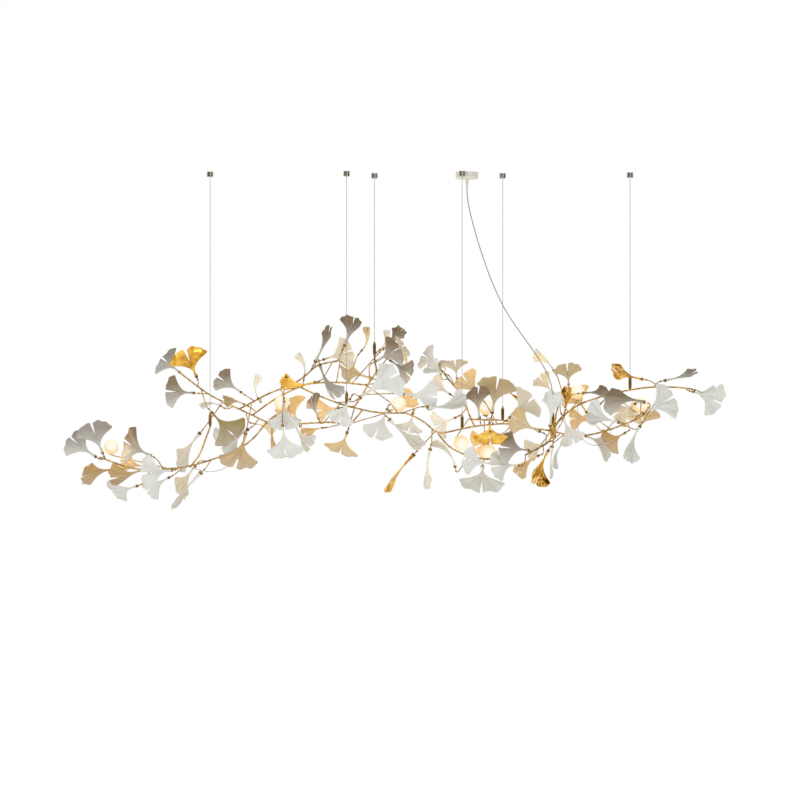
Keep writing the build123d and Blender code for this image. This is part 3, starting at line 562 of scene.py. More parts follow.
def fan_rim(form, share):
    """Outline of half a leaf from the foot of its cleft (0) to the top of its corner (1)."""
    cleft = LEAF_FORMS[form][4]
    cleft_foot = (FORM_LENGTH - cleft, 0)
    rim_end = np.array([FORM_LENGTH, CLEFT_HALF])
    rim_start = leaf_corner(form, np.zeros(1))[0]
    rim_middle = (rim_start + rim_end) / 2 + RIM_SWELL
    cleft_middle = (FORM_LENGTH - cleft / 2, CLEFT_HALF * CLEFT_BOW)
    points = through(cleft_foot, cleft_middle, rim_end, np.clip(share / CLEFT_SHARE, 0, 1))
    run = np.clip((share - CLEFT_SHARE) / (CORNER_SHARE - CLEFT_SHARE), 0, 1)
    rim = through(rim_end, rim_middle, rim_start, run)
    points = np.where((share > CLEFT_SHARE)[:, None], rim, points)
    turn = leaf_corner(form, np.clip((share - CORNER_SHARE) / (1 - CORNER_SHARE), 0, 1) / 2)
    return np.where((share > CORNER_SHARE)[:, None], turn, points)


def leaf_side(form, share):
    """Flared side of half a leaf, from its stalk (0) round to the top of its corner (1)."""
    side_start = np.array([STALK_END, STALK_RADIUS])
    side_end = leaf_corner(form, np.ones(1))[0]
    bow_middle = (
        (side_start[0] + side_end[0]) / 2 + CORNER_ROUND * 3 / 8,
        side_start[1] + FLARE_SHARE * (side_end[1] - side_start[1]),
    )
    flare = through(side_start, bow_middle, side_end, np.clip(share / SIDE_SHARE, 0, 1))
    turn = leaf_corner(form, 1 - np.clip((share - SIDE_SHARE) / (1 - SIDE_SHARE), 0, 1) / 2)
    return np.where((share > SIDE_SHARE)[:, None], turn, flare)


def shell_point(form, run, y):
    """Point of a leaf's shell, a bent midrib turned about a tilted axis, after a run and out to y.

    Past the end of its span, the point stays at that end.
    """
    tilt, bend = LEAF_FORMS[form][:2]
    direction = np.array([cos(radians(tilt)), 0, sin(radians(tilt))])
    turn = run / abs(bend)
    arm_x = abs(bend) * np.sin(turn) - SHELL_AXIS[0]
    arm_z = np.sign(bend) * abs(bend) * (1 - np.cos(turn)) - SHELL_AXIS[2]
    advance = arm_x * direction[0] + arm_z * direction[2]
    out_x, out_z = arm_x - advance * direction[0], arm_z - advance * direction[2]
    radius = np.hypot(out_x, out_z)
    limit = sin(radians(SHELL_SPAN))
    side = np.clip(y / np.maximum(radius, 1e-6), -limit, limit)
    swing = np.sqrt(1 - side**2)
    reached = SHELL_AXIS[0] + advance * direction[0] + out_x * swing
    return reached, side * radius, SHELL_AXIS[2] + advance * direction[2] + out_z * swing


def shell_seat(form, x, y):
    """Reach to the side and height of a leaf's shell over its plan."""
    low = np.full(x.shape, SHELL_START)
    high = np.full(x.shape, SHELL_RUN)
    for _ in range(HALVINGS):
        run = (low + high) / 2
        short = shell_point(form, run, y)[0] < x
        low = np.where(short, run, low)
        high = np.where(short, high, run)
    return shell_point(form, run, y)[1:]


def leaf_sheet(form, rows, columns, chance):
    """Middle surface of one leaf as a grid of points, with its shares along and across."""
    across = np.linspace(-1, 1, columns + 1)
    along = np.linspace(0, 1, rows + 1)
    rim = fan_rim(form, np.abs(across))
    rim[:, 1] *= np.sign(across)
    base = np.column_stack([np.full(columns + 1, STALK_END), across * STALK_RADIUS])
    waves = chance.integers(*LOBE_COUNTS)
    phases = chance.uniform(0, 2 * pi, 2)
    lobes = LOBE_DEPTH * np.sin(across * waves * pi + phases[0])
    lobes += SECOND_DEPTH * np.sin(across * SECOND_TURN + phases[1])
    # The cleft has no lobes, and they fade out towards the corners
    lobes *= (np.abs(across) > CLEFT_SHARE) * (1 - across**6)
    rim = base + (rim - base) * (1 + lobes)[:, None]
    shell_end = shell_point(form, np.full(columns + 1, SHELL_RUN), rim[:, 1])[0]
    rim[:, 0] = np.minimum(rim[:, 0], shell_end - SHELL_MARGIN)
    plan = base[None] + along[:, None, None] * (rim - base)[None]
    bow = leaf_side(form, along) - (base[-1] + along[:, None] * (rim[-1] - base[-1]))
    # Every column takes its share of the flare, so that no two of them cross
    hold = rim[:, 1] / rim[-1, 1]
    plan[:, :, 0] += bow[:, None, 0] * hold[None] ** 2
    plan[:, :, 1] += bow[:, None, 1] * hold[None]
    # Where a side would pass the end of the shell's span, its half of that row is drawn in
    for edge, half in ((0, across < 0), (-1, across > 0)):
        reach = shell_seat(form, plan[:, edge, 0], plan[:, edge, 1])[0]
        plan[:, half, 1] *= np.minimum(1, reach / plan[:, edge, 1])[:, None]
    side, height = shell_seat(form, plan[:, :, 0], plan[:, :, 1])
    return np.dstack([plan[:, :, 0], side, height]), along, across


def leaf_stalk(form):
    """Tapered stalk that runs from the neck into the midrib, as rings of points."""
    points, faces = lathe([(0, 0)] + STALK_RINGS + [(0, STALK_TIP)], STALK_SIDES)
    y, z, x = points.T
    middle = shell_seat(form, x, np.zeros_like(x))[1]
    return np.column_stack([x, y, z + middle * np.clip(x / STALK_RISE, 0, 1)]), faces


def leaf_cluster(name, seats, letters, sizes, colours, seed):
    """Sheets and stalks of one stretch of leaves, with shares and glaze kept as attributes; the glaze
    holds painted light and shade.
    """
    chance = np.random.default_rng(seed)
    points, faces, glaze = [], [], []
    shares = {key: [] for key in SHARES}
    count = 0
    for (neck, along_axis, across_axis, facing, size, form), letter in zip(seats, letters):
        turn = np.array([along_axis, across_axis, facing])
        sheet, along, across = leaf_sheet(form, sizes.rows, sizes.columns, chance)
        rows, columns = len(along), len(across)
        flat = rows * columns
        grid = count + np.arange(flat).reshape(rows, columns)
        quads = np.stack([grid[:-1, :-1], grid[1:, :-1], grid[1:, 1:], grid[:-1, 1:]], axis=-1)
        faces += quads.reshape(-1, 4).tolist()
        stem, stem_faces = leaf_stalk(form)
        faces += [[count + flat + i for i in face] for face in stem_faces]
        placed = neck + size / 1000 * (np.vstack([sheet.reshape(-1, 3), stem]) @ turn)
        points.append(placed)
        total = flat + len(stem)
        shares["along"].append(np.concatenate([np.repeat(along, columns), np.zeros(len(stem))]))
        shares["across"].append(np.concatenate([np.tile(across, rows), np.zeros(len(stem))]))
        shares["stalk"].append(np.concatenate([np.zeros(flat), np.ones(len(stem))]))
        shares["phase"].append(np.full(total, chance.uniform(0, 2 * pi)))
        shares["waves"].append(np.full(total, chance.uniform(*RIM_WAVES)))
        shares["size"].append(np.full(total, size))
        drop = (placed[:, 2].max() - placed[:, 2]) / np.ptp(placed[:, 2])
        # Painted shade and light: each leaf is darker at its top and pales to white towards its lower
        # edge, grey tones the most, warm ones half as much
        fade = colours.fade if letter in FULL_SHADE_TONES else colours.fade / 2
        painted_light_share = (fade * np.clip(drop * PAINTED_SHADE_PACE - PAINTED_SHADE_OFFSET, 0, 1))[:, None]
        tone = np.array(getattr(colours, GLAZE_AND_LIGHT_TONES[letter])) * (1 - painted_light_share) + np.array(colours.white) * painted_light_share
        glaze.append(np.column_stack([tone, np.ones(total)]))
        count += total
    mesh = mesh_of(name, np.vstack(points), faces)
    for key, values in shares.items():
        store(mesh, key, np.concatenate(values))
    # Each leaf's tone, with its painted light and shade
    store(mesh, "glaze", np.vstack(glaze).ravel(), "FLOAT_COLOR", "color")
    return mesh


def new_tree(name, inputs, output):
    """Empty Geometry Nodes tree with named inputs and one geometry output, and what it is given."""
    tree = bpy.data.node_groups.new(name, "GeometryNodeTree")
    for label, kind in inputs.items():
        tree.interface.new_socket(label, in_out="INPUT", socket_type=f"NodeSocket{kind}")
    tree.interface.new_socket(output, in_out="OUTPUT", socket_type="NodeSocketGeometry")
    return tree, add_node(tree, "NodeGroupInput").outputs


def end_tree(tree, geometry, material, output):
    """Ends a tree with real geometry in its material."""
    real = add_node(tree, "GeometryNodeRealizeInstances", {"Geometry": geometry}).outputs[0]
    coated = add_node(tree, "GeometryNodeSetMaterial", {"Geometry": real, "Material": material})
    add_node(tree, "NodeGroupOutput", {output: coated.outputs[0]})


def relief_tree():
    """Geometry Nodes: ribs and rim waves on a leaf sheet, then its wall; stalks pass through."""
    inputs = {
        "Sheets": "Geometry", "Wall": "Float", "Ribs": "Float",
        "Rib depth": "Float", "Ruffle": "Float", "Glaze": "Material",
    }
    tree, given = new_tree("leaf_relief_and_wall", inputs, "Leaves")
    value = {label: given[label] for label, kind in inputs.items() if kind == "Float"}
    for key in SHARES:
        value[key] = add_node(tree, ATTRIBUTE, {"Name": key}, data_type="FLOAT").outputs[0]
    # Each step has a name, an operation and its inputs; the wall lies half on each side of the sheet
    for name, operation, *terms in (
        ("swell", "POWER", "along", SWELL_POWER),
        ("rib turn", "MULTIPLY", "across", "Ribs"),
        ("rib angle", "MULTIPLY", "rib turn", pi),
        ("rib wave", "COSINE", "rib angle"),
        ("rib", "MULTIPLY", "rib wave", "Rib depth"),
        ("wave turn", "MULTIPLY", "across", "waves"),
        ("wave angle", "MULTIPLY_ADD", "wave turn", pi, "phase"),
        ("wave", "SINE", "wave angle"),
        ("ruffle and rib", "MULTIPLY_ADD", "wave", "Ruffle", "rib"),
        ("relief", "MULTIPLY", "ruffle and rib", "swell"),
        ("scaled relief", "MULTIPLY", "relief", "size"),
        ("shift", "MULTIPLY_ADD", "Wall", -0.5, "scaled relief"),
        ("is stalk", "GREATER_THAN", "stalk", 0.5),
    ):
        links = {n: value.get(term, term) for n, term in enumerate(terms)}
        value[name] = add_node(tree, MATH, links, operation=operation, label=name).outputs[0]
    normal = add_node(tree, "GeometryNodeInputNormal").outputs[0]
    shift = add_node(
        tree, "ShaderNodeVectorMath", {0: normal, "Scale": value["shift"]}, operation="SCALE"
    ).outputs[0]
    parts = add_node(
        tree, "GeometryNodeSeparateGeometry",
        {"Geometry": given["Sheets"], "Selection": value["is stalk"]}, domain="POINT",
    ).outputs
    waved = add_node(
        tree, "GeometryNodeSetPosition", {"Geometry": parts["Inverted"], "Offset": shift}
    ).outputs[0]
    raised = add_node(
        tree, "GeometryNodeExtrudeMesh",
        {"Mesh": waved, "Offset Scale": given["Wall"], "Individual": False}, mode="FACES",
    ).outputs["Mesh"]
    back = add_node(tree, "GeometryNodeFlipFaces", {"Mesh": waved}).outputs[0]
    both = add_node(tree, "GeometryNodeJoinGeometry", {"Geometry": raised})
    tree.links.new(back, both.inputs["Geometry"])
    closed = add_node(
        tree, "GeometryNodeMergeByDistance",
        {"Geometry": both.outputs[0], "Distance": MERGE_DISTANCE},
    ).outputs[0]
    whole = add_node(tree, "GeometryNodeJoinGeometry", {"Geometry": closed})
    tree.links.new(parts["Selection"], whole.inputs["Geometry"])
    end_tree(tree, whole.outputs[0], given["Glaze"], "Leaves")
    return tree


def bead_tree():
    """Geometry Nodes: one turned bead on each point, along the point's own direction."""
    inputs = {"Points": "Geometry", "Bead": "Object", "Brass": "Material"}
    tree, given = new_tree("turned_beads_on_twigs", inputs, "Beads")
    direction = add_node(tree, ATTRIBUTE, {"Name": "direction"}, data_type="FLOAT_VECTOR").outputs[0]
    size = add_node(tree, ATTRIBUTE, {"Name": "size"}, data_type="FLOAT").outputs[0]
    turn = add_node(
        tree, "FunctionNodeAlignRotationToVector", {"Vector": direction}, axis="Z"
    ).outputs[0]
    shape = add_node(tree, "GeometryNodeObjectInfo", {"Object": given["Bead"]}).outputs["Geometry"]
    spots = add_node(tree, "GeometryNodeMeshToPoints", {"Mesh": given["Points"]}).outputs[0]
    placed = add_node(
        tree, "GeometryNodeInstanceOnPoints",
        {"Points": spots, "Instance": shape, "Rotation": turn, "Scale": size},
    ).outputs[0]
    end_tree(tree, placed, given["Brass"], "Beads")
    return tree


def grow(source, tree, inputs, name):
    """Runs a Geometry Nodes tree on an object and returns the plain mesh that it makes."""
    modifier = source.modifiers.new(tree.name, "NODES")
    modifier.node_group = tree
    for item in tree.interface.items_tree:
        if item.item_type == "SOCKET" and item.in_out == "INPUT" and item.name in inputs:
            modifier[item.identifier] = inputs[item.name]
    return baked(source, name)


# Materials

def new_material(name):
    """Material with its tree, the skin that it shows, and the place of a point on the object."""
    material = bpy.data.materials.new(name)
    material.use_nodes = True
    tree = material.node_tree
    place = add_node(tree, "ShaderNodeTexCoord").outputs["Object"]
    return material, tree, tree.nodes["Principled BSDF"], place


def glazed_porcelain():
    """Slip-cast porcelain under a satin glaze: soft gloss, colour that pools, and the painted light and
    shade of the leaves' tones.
    """
    material, tree, skin, place = new_material("satin_glazed_porcelain")
    # The glaze attribute holds each leaf's tone with its painted light and shade
    glaze = add_node(tree, "ShaderNodeAttribute", attribute_name="glaze").outputs["Color"]
    # The glaze pools unevenly, in patches about 30 mm wide
    pooled = add_node(tree, NOISE, {"Vector": place, "Scale": 33.0, "Detail": 3.0}).outputs["Fac"]
    depth = add_node(tree, RANGE, {"Value": pooled, 1: 0.3, 2: 0.7, 3: 0.93, 4: 1.05}).outputs[0]
    tinted = add_node(
        tree, "ShaderNodeMix", {0: 1.0, 6: glaze, 7: depth}, data_type="RGBA", blend_type="MULTIPLY"
    ).outputs[2]
    # Brush marks run along the ribs; they are drawn about 5 mm wide so that they show
    across = add_node(tree, "ShaderNodeAttribute", attribute_name="across").outputs["Fac"]
    along = add_node(tree, "ShaderNodeAttribute", attribute_name="along").outputs["Fac"]
    lane = add_node(tree, "ShaderNodeCombineXYZ", {0: across, 1: along}).outputs[0]
    lanes = add_node(tree, "ShaderNodeMapping", {"Vector": lane, "Scale": (10.0, 0.8, 1.0)}).outputs[0]
    marks = add_node(tree, NOISE, {"Vector": lanes, "Scale": 1.0, "Detail": 2.0}).outputs["Fac"]
    bump = add_node(tree, BUMP, {"Height": marks, "Strength": 0.2, "Distance": 0.0015}).outputs[0]
    rough = add_node(tree, RANGE, {"Value": marks, 3: 0.5, 4: 0.66}).outputs[0]
    join(tree, skin, {"Base Color": tinted, "Normal": bump, "Roughness": rough})
    join(tree, skin, {"IOR": 1.45, "Specular IOR Level": 0.3})
    return material


def gold_lustre():
    """Gold lustre fired over the glaze: a mirror that the uneven porcelain under it bends."""
    material, tree, skin, place = new_material("fired_gold_lustre")
    # Lustre is brushed on and thins to brown in patches about 25 mm wide
    patches = add_node(tree, NOISE, {"Vector": place, "Scale": 40.0, "Detail": 4.0}).outputs["Fac"]
    tones = [(0.3, "C98A1C"), (0.62, "FFD064")]
    colour = add_node(tree, RAMP, {"Fac": patches}, tones).outputs["Color"]
    swells = add_node(tree, NOISE, {"Vector": place, "Scale": 32.0, "Detail": 1.0}).outputs["Fac"]
    bump = add_node(tree, BUMP, {"Height": swells, "Strength": 1.0, "Distance": 0.012}).outputs[0]
    rough = add_node(tree, RANGE, {"Value": patches, 3: 0.17, 4: 0.09}).outputs[0]
    join(tree, skin, {"Base Color": colour, "Normal": bump, "Roughness": rough, "Metallic": 1.0})
    return material


def patinated_brass(name, bright, dark, shine):
    """Drawn brass, brazed and darkened by hand: bright where it is rubbed, brown in between."""
    material, tree, skin, place = new_material(name)
    # Patina lies in patches about 12 mm long
    patches = add_node(tree, NOISE, {"Vector": place, "Scale": 80.0, "Detail": 4.0}).outputs["Fac"]
    tones = [(0.38, dark), (0.6, bright)]
    colour = add_node(tree, RAMP, {"Fac": patches}, tones).outputs["Color"]
    rough = add_node(tree, RANGE, {"Value": patches, 3: shine + 0.2, 4: shine}).outputs[0]
    # Draw marks and hammer marks about 2 mm across
    grit = add_node(tree, NOISE, {"Vector": place, "Scale": 500.0, "Detail": 2.0}).outputs["Fac"]
    bump = add_node(tree, BUMP, {"Height": grit, "Strength": 0.25, "Distance": 0.0006}).outputs[0]
    join(tree, skin, {"Base Color": colour, "Normal": bump, "Roughness": rough, "Metallic": 1.0})
    return material


def speckled(name, light, dark, grain, roughness, metallic):
    """A plain finish with the fine unevenness of its own making: colour and gloss vary by grain."""
    material, tree, skin, place = new_material(name)
    spots = add_node(tree, NOISE, {"Vector": place, "Scale": 1 / grain, "Detail": 3.0}).outputs["Fac"]
    tones = [(0.35, dark), (0.65, light)]
    colour = add_node(tree, RAMP, {"Fac": spots}, tones).outputs["Color"]
    gloss = {"Value": spots, 3: roughness - 0.05, 4: roughness + 0.08}
    rough = add_node(tree, RANGE, gloss).outputs[0]
    bump = add_node(tree, BUMP, {"Height": spots, "Strength": 0.15, "Distance": grain / 4}).outputs[0]
    join(tree, skin, {"Base Color": colour, "Normal": bump, "Roughness": rough, "Metallic": metallic})
    return material


def opal_glass():
    """Blown opal glass lit from within: white at its crown, amber towards its neck."""
    material, tree, skin, place = new_material("lit_opal_glass")
    crown = add_node(tree, "ShaderNodeAttribute", attribute_name="crown").outputs["Fac"]
    # The opal layer is cloudy, in patches about 10 mm wide
    cloud = add_node(tree, NOISE, {"Vector": place, "Scale": 100.0, "Detail": 2.0}).outputs["Fac"]
    lifted = add_node(tree, MATH, {0: cloud, 1: 0.12, 2: crown}, operation="MULTIPLY_ADD").outputs[0]
    tones = [(0.46, "F0B76A"), (1.0, "FFF9EA"), (0.8, "FFDFA8")]
    colour = add_node(tree, RAMP, {"Fac": lifted}, tones).outputs["Color"]
    join(tree, skin, {"Emission Color": colour, "Emission Strength": 0.97, "Roughness": 0.25})
    join(tree, skin, {"Base Color": opaque(linear("4A3014"))})
    return material


# What makes each finish and what it is given: name, light and dark tone, then a brass's least
# roughness, or a plain finish's grain in metres, its roughness and whether it is metal
FINISHES = {
    "porcelain": (glazed_porcelain,),
    "gilded_porcelain": (gold_lustre,),
    "opal_glass": (opal_glass,),
    # Drawn rod, golden where it is rubbed
    "brass": (patinated_brass, "patinated_drawn_brass", "DDBB70", "94713A", 0.28),
    # Small turned pieces, brown all over
    "dark_brass": (patinated_brass, "blackened_turned_brass", "9E7C42", "57411F", 0.32),
    # Fine bright wires with grey between them
    "steel_cable": (speckled, "stranded_stainless_steel", "C9C9C8", "8E8E8E", 0.002, 0.4, 1.0),
    # Warm pale metal with a silky gloss
    "nickel": (speckled, "satin_nickel_plate", "D6D2C8", "B4AEA0", 0.004, 0.28, 1.0),
    # Matt grey skin with the slight unevenness of extrusion
    "cord_jacket": (speckled, "extruded_grey_jacket", "B4B1AC", "9D9A95", 0.003, 0.5, 0.0),
    # Off-white plastic, a little dull
    "pale_plastic": (speckled, "moulded_pale_polyamide", "E6E3DC", "D8D5CD", 0.002, 0.45, 0.0),
    # Cold grey sheet with the spangle of zinc
    "steel_plate": (speckled, "zinc_plated_steel", "C4C4C0", "9C9C98", 0.006, 0.4, 1.0),
    # Smooth warm white with a soft gloss
    "white_enamel": (speckled, "white_stove_enamel", "F0EFEA", "E6E5DF", 0.008, 0.3, 0.0),
}
MADE = {}


def finish(name):
    """The material of that name, made once."""
    if name not in MADE:
        maker, *values = FINISHES[name]
        MADE[name] = maker(*values)
    return MADE[name]


def coat(node, name):
    """Gives a CAD node its finish."""
    mesh = frame["nodes"][node].data
    mesh.materials.clear()
    mesh.materials.append(finish(name))


# Pieces

def route_curve(name, route, diameter):
    """Smooth open spline whose control points are the route's points."""
    curve = bpy.data.curves.new(name, "CURVE")
    curve.dimensions = "3D"
    curve.resolution_u = 10
    spline = curve.splines.new("NURBS")
    spline.points.add(len(route) - 1)
    for point, place in zip(spline.points, route):
        point.co = (*place, 1.0)
    spline.order_u = 3
    spline.use_endpoint_u = True
    curve.bevel_depth = diameter / 2
    curve.bevel_resolution = 4
    curve.use_fill_caps = True
    return curve


def tube_mesh(name, path, diameter, sides):
    """Closed round tube along a chain of points."""
    path = np.asarray(path, float)
    heading = np.gradient(path, axis=0)
    points, faces = [], []
    first = None
    for place, ahead in zip(path, heading):
        ahead = ahead / np.linalg.norm(ahead)
        if first is None:
            first = turned_axes(ahead)[0]
        first = first - ahead * (first @ ahead)
        first /= np.linalg.norm(first)
        second = np.cross(ahead, first)
        for n in range(sides):
            turn = 2 * pi * n / sides
            points.append(place + diameter / 2 * (first * cos(turn) + second * sin(turn)))
    for ring in range(len(path) - 1):
        for n in range(sides):
            low, high = ring * sides, (ring + 1) * sides
            after = (n + 1) % sides
            faces.append((low + n, low + after, high + after, high + n))
    faces.append(tuple(range(sides))[::-1])
    last = (len(path) - 1) * sides
    faces.append(tuple(last + n for n in range(sides)))
    return mesh_of(name, points, faces, angle=45)


class CHANDELIER_OT_power_cord(bpy.types.Operator):
    """Hang the power cord from the rose to the knot"""

    bl_idname = "chandelier.power_cord"
    bl_label = "Power cord"

    def execute(self, context):
        diameter = context.scene.chandelier_cords.cord
        guide = new_piece("power_cord_line", route_curve("power_cord_line", POWER_CORD_ROUTE, 0))
        path = [tuple(v.co) for v in baked(guide, "power_cord_line").vertices]
        mesh = tube_mesh("power_cord_jacket", path, diameter, sides=16)
        piece = new_piece("power_cord_jacket", mesh, finish("cord_jacket"))
        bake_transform(piece)
        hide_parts("power_cord")
        return {"FINISHED"}


class CHANDELIER_OT_steel_cables(bpy.types.Operator):
    """Draw each steel cable from its ceiling cup to its gripper"""

    bl_idname = "chandelier.steel_cables"
    bl_label = "Steel cables"

    def execute(self, context):
        sizes = context.scene.chandelier_cords
        for joint in frame["joints"]:
            body = joint["child"]
            if not joint["name"].endswith("_swing"):
                continue
            top = joint["pos_m"]
            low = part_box(body)[0][2]
            middle = (top[0], top[1], (top[2] + low) / 2)
            foot = (top[0], top[1], low)
            curve = route_curve(f"{body}_strand", [tuple(top), middle, foot], sizes.cable)
            piece = new_piece(f"{body}_strand", curve, finish("steel_cable"))
            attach(piece, body)
            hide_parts(body)
            # Swaged ball that seats in the cup and turns there with the cable
            points, faces = lathe([(r / 1000, z / 1000) for r, z in FERRULE_PROFILE], segments=20)
            mesh = mesh_of(f"{body}_ferrule", points + np.array(top), faces, angle=50)
            ferrule = new_piece(f"{body}_ferrule", mesh, finish("steel_cable"))
            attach(ferrule, body)
        return {"FINISHED"}


class CHANDELIER_OT_feed_wires(bpy.types.Operator):
    """Loop the thin feed wires along the branch"""

    bl_idname = "chandelier.feed_wires"
    bl_label = "Feed wires"

    def execute(self, context):
        diameter = context.scene.chandelier_cords.feed_wire
        for node, route in FEED_WIRE_ROUTES.items():
            curve = route_curve(f"{node}_jacket", route, diameter)
            piece = new_piece(f"{node}_jacket", curve, finish("cord_jacket"))
            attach(piece, "frame")
            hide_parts(node)
        return {"FINISHED"}


SEATS = {}


def seats_of(zone):
    """The leaf seats of a stretch, read once."""
    if zone not in SEATS:
        mesh = frame["nodes"][f"{zone}_leaves"].data
        SEATS[zone] = [leaf_seat(shell) for shell in shells_of(mesh)]
    return SEATS[zone]


def dress_leaves(context, zones, slot):
    """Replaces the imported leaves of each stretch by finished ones."""
    sizes = context.scene.chandelier_leaves
    colours = context.scene.chandelier_glazes
    tree = relief_tree()
    for seed, zone in enumerate(zones, FIRST_SEED):
        seats = seats_of(zone)
        if len(seats) != len(GLAZE_AND_LIGHT_ORDER[zone]):
            raise RuntimeError(f"{zone} has {len(seats)} leaves and {len(GLAZE_AND_LIGHT_ORDER[zone])} glazes")
        sheets = leaf_cluster(f"{zone}_sheets", seats, GLAZE_AND_LIGHT_ORDER[zone], sizes, colours, seed)
        source = new_piece(f"{zone}_sheets", sheets)
        inputs = {
            "Wall": sizes.wall, "Ribs": float(sizes.ribs), "Rib depth": sizes.rib_depth,
            "Ruffle": sizes.ruffle, "Glaze": finish(slot),
        }
        mesh = grow(source, tree, inputs, f"{zone}_{slot}")
        smooth(mesh, angle=60)
        piece = new_piece(f"{zone}_{slot}", mesh)
        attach(piece, "frame")
        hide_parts(f"{zone}_leaves")


class CHANDELIER_OT_porcelain_leaves(bpy.types.Operator):
    """Put a finished porcelain leaf on every seat of the branch"""

    bl_idname = "chandelier.porcelain_leaves"
    bl_label = "Porcelain leaves"

    def execute(self, context):
        dress_leaves(context, [zone for zone in GLAZE_AND_LIGHT_ORDER if "gilded" not in zone], "porcelain")
        return {"FINISHED"}


class CHANDELIER_OT_gilded_leaves(bpy.types.Operator):
    """Put a gilded leaf on every gilded seat"""

    bl_idname = "chandelier.gilded_leaves"
    bl_label = "Gilded leaves"

    def execute(self, context):
        dress_leaves(context, [zone for zone in GLAZE_AND_LIGHT_ORDER if "gilded" in zone], "gilded_porcelain")
        return {"FINISHED"}


class CHANDELIER_OT_brass_branches(bpy.types.Operator):
    """Finish the brass branches and set turned beads on their twigs"""

    bl_idname = "chandelier.brass_branches"
    bl_label = "Brass branches"

    def execute(self, context):
        for node in frame["nodes"]:
            if node == "knot_hub" or node.endswith(BRANCH_ENDINGS):
                coat(node, "brass")
        coat("cord_gland", "dark_brass")
        points, faces = lathe([(r / 1000, z / 1000) for r, z in BEAD_PROFILE], segments=14)
        bead = new_piece("turned_bead", mesh_of("turned_bead", points, faces, angle=40))
        spots, directions, sizes = [], [], []
        for zone in GLAZE_AND_LIGHT_ORDER:
            for neck, along, across, facing, size, form in seats_of(zone):
                spots += [neck, neck - along * BEAD_BACK]
                directions += [*along, *along]
                sizes += [size, BEAD_SIZE]
        mesh = mesh_of("bead_spots", spots, [])
        store(mesh, "direction", directions, "FLOAT_VECTOR", "vector")
        store(mesh, "size", sizes)
        source = new_piece("bead_spots", mesh)
        beads = grow(source, bead_tree(), {"Bead": bead, "Brass": finish("dark_brass")}, "twig_beads")
        bpy.data.objects.remove(bead)
        smooth(beads, angle=40)
        piece = new_piece("twig_beads", beads)
        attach(piece, "frame")
        return {"FINISHED"}


class CHANDELIER_OT_globe_lamps(bpy.types.Operator):
    """Blow the opal globes and set each on its screw cap"""

    bl_idname = "chandelier.globe_lamps"
    bl_label = "Globe lamps"

    def execute(self, context):
        sizes = context.scene.chandelier_lamps
        coat("lampholders", "brass")
        radius, neck, cap = sizes.globe / 2, sizes.neck / 2, sizes.cap / 2
        neck_z = -((radius**2 - neck**2) ** 0.5)
        cap_z = neck_z - sizes.neck_length
        end_z = cap_z - sizes.cap_length
        # The glass runs from its pole down to the neck and a little into the cap
        glass = [(0, radius)]
        for n in range(1, GLASS_RINGS):
            turn = n / GLASS_RINGS * (pi - np.arcsin(neck / radius))
            glass.append((radius * sin(turn), radius * cos(turn)))
        glass += [(neck, neck_z), (neck * 0.93, neck_z - sizes.neck_length * 0.4), (cap, cap_z)]
        glass += [(cap * 0.9, cap_z - 0.0005), (0, cap_z - 0.0005)]
        # The cap is a thread with the round contact at its end
        screw = [(0, cap_z)]
        pitch = sizes.cap_length * THREAD_SHARE / THREAD_TURNS
        for n in range(THREAD_TURNS):
            top = cap_z - 0.001 - n * pitch
            screw += [(cap, top), (cap * 0.9, top - pitch / 2)]
        screw += [(cap * 0.85, end_z + 0.003), (cap * 0.45, end_z + 0.001), (cap * 0.4, end_z)]
        screw += [(0, end_z)]
        for joint in frame["joints"]:
            if not joint["name"].endswith("_screw"):
                continue
            body = joint["child"]
            turn = turned_axes(joint["axis"])
            centre = np.array(joint["pos_m"])
            for part, profile, slot in (("globe", glass, "opal_glass"), ("cap", screw, "nickel")):
                points, faces = lathe(profile[::-1], LAMP_SIDES)
                mesh = mesh_of(f"{body}_{part}", points @ turn + centre, faces, angle=40)
                store(mesh, "crown", np.clip((points[:, 2] / radius + 1) / 2, 0, 1))
                piece = new_piece(f"{body}_{part}", mesh, finish(slot))
                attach(piece, body)
                piece.visible_shadow = False
                if part == "globe":
                    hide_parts(body)
            light = bpy.data.lights.new(f"{body}_light", "POINT")
            light.energy = sizes.glow
            light.color = linear(LAMP_LIGHT)
            light.shadow_soft_size = radius
            # A globe lights the leaves beside it directly; its second bounce would only add grain
            light.cycles.max_bounces = 0
            new_piece(f"{body}_light", light).location = centre
        return {"FINISHED"}


class CHANDELIER_OT_ceiling_fittings(bpy.types.Operator):
    """Finish the rose, cups, grippers and plungers"""

    bl_idname = "chandelier.ceiling_fittings"
    bl_label = "Ceiling fittings"

    def execute(self, context):
        coat("rose_plate", "steel_plate")
        coat("rose_cover", "white_enamel")
        coat("rose_terminal_block", "pale_plastic")
        coat("rose_cord_grip", "pale_plastic")
        coat("ceiling_cups", "nickel")
        coat("cable_grippers", "dark_brass")
        for node in frame["nodes"]:
            if node.startswith("gripper_plunger"):
                coat(node, "brass")
        return {"FINISHED"}


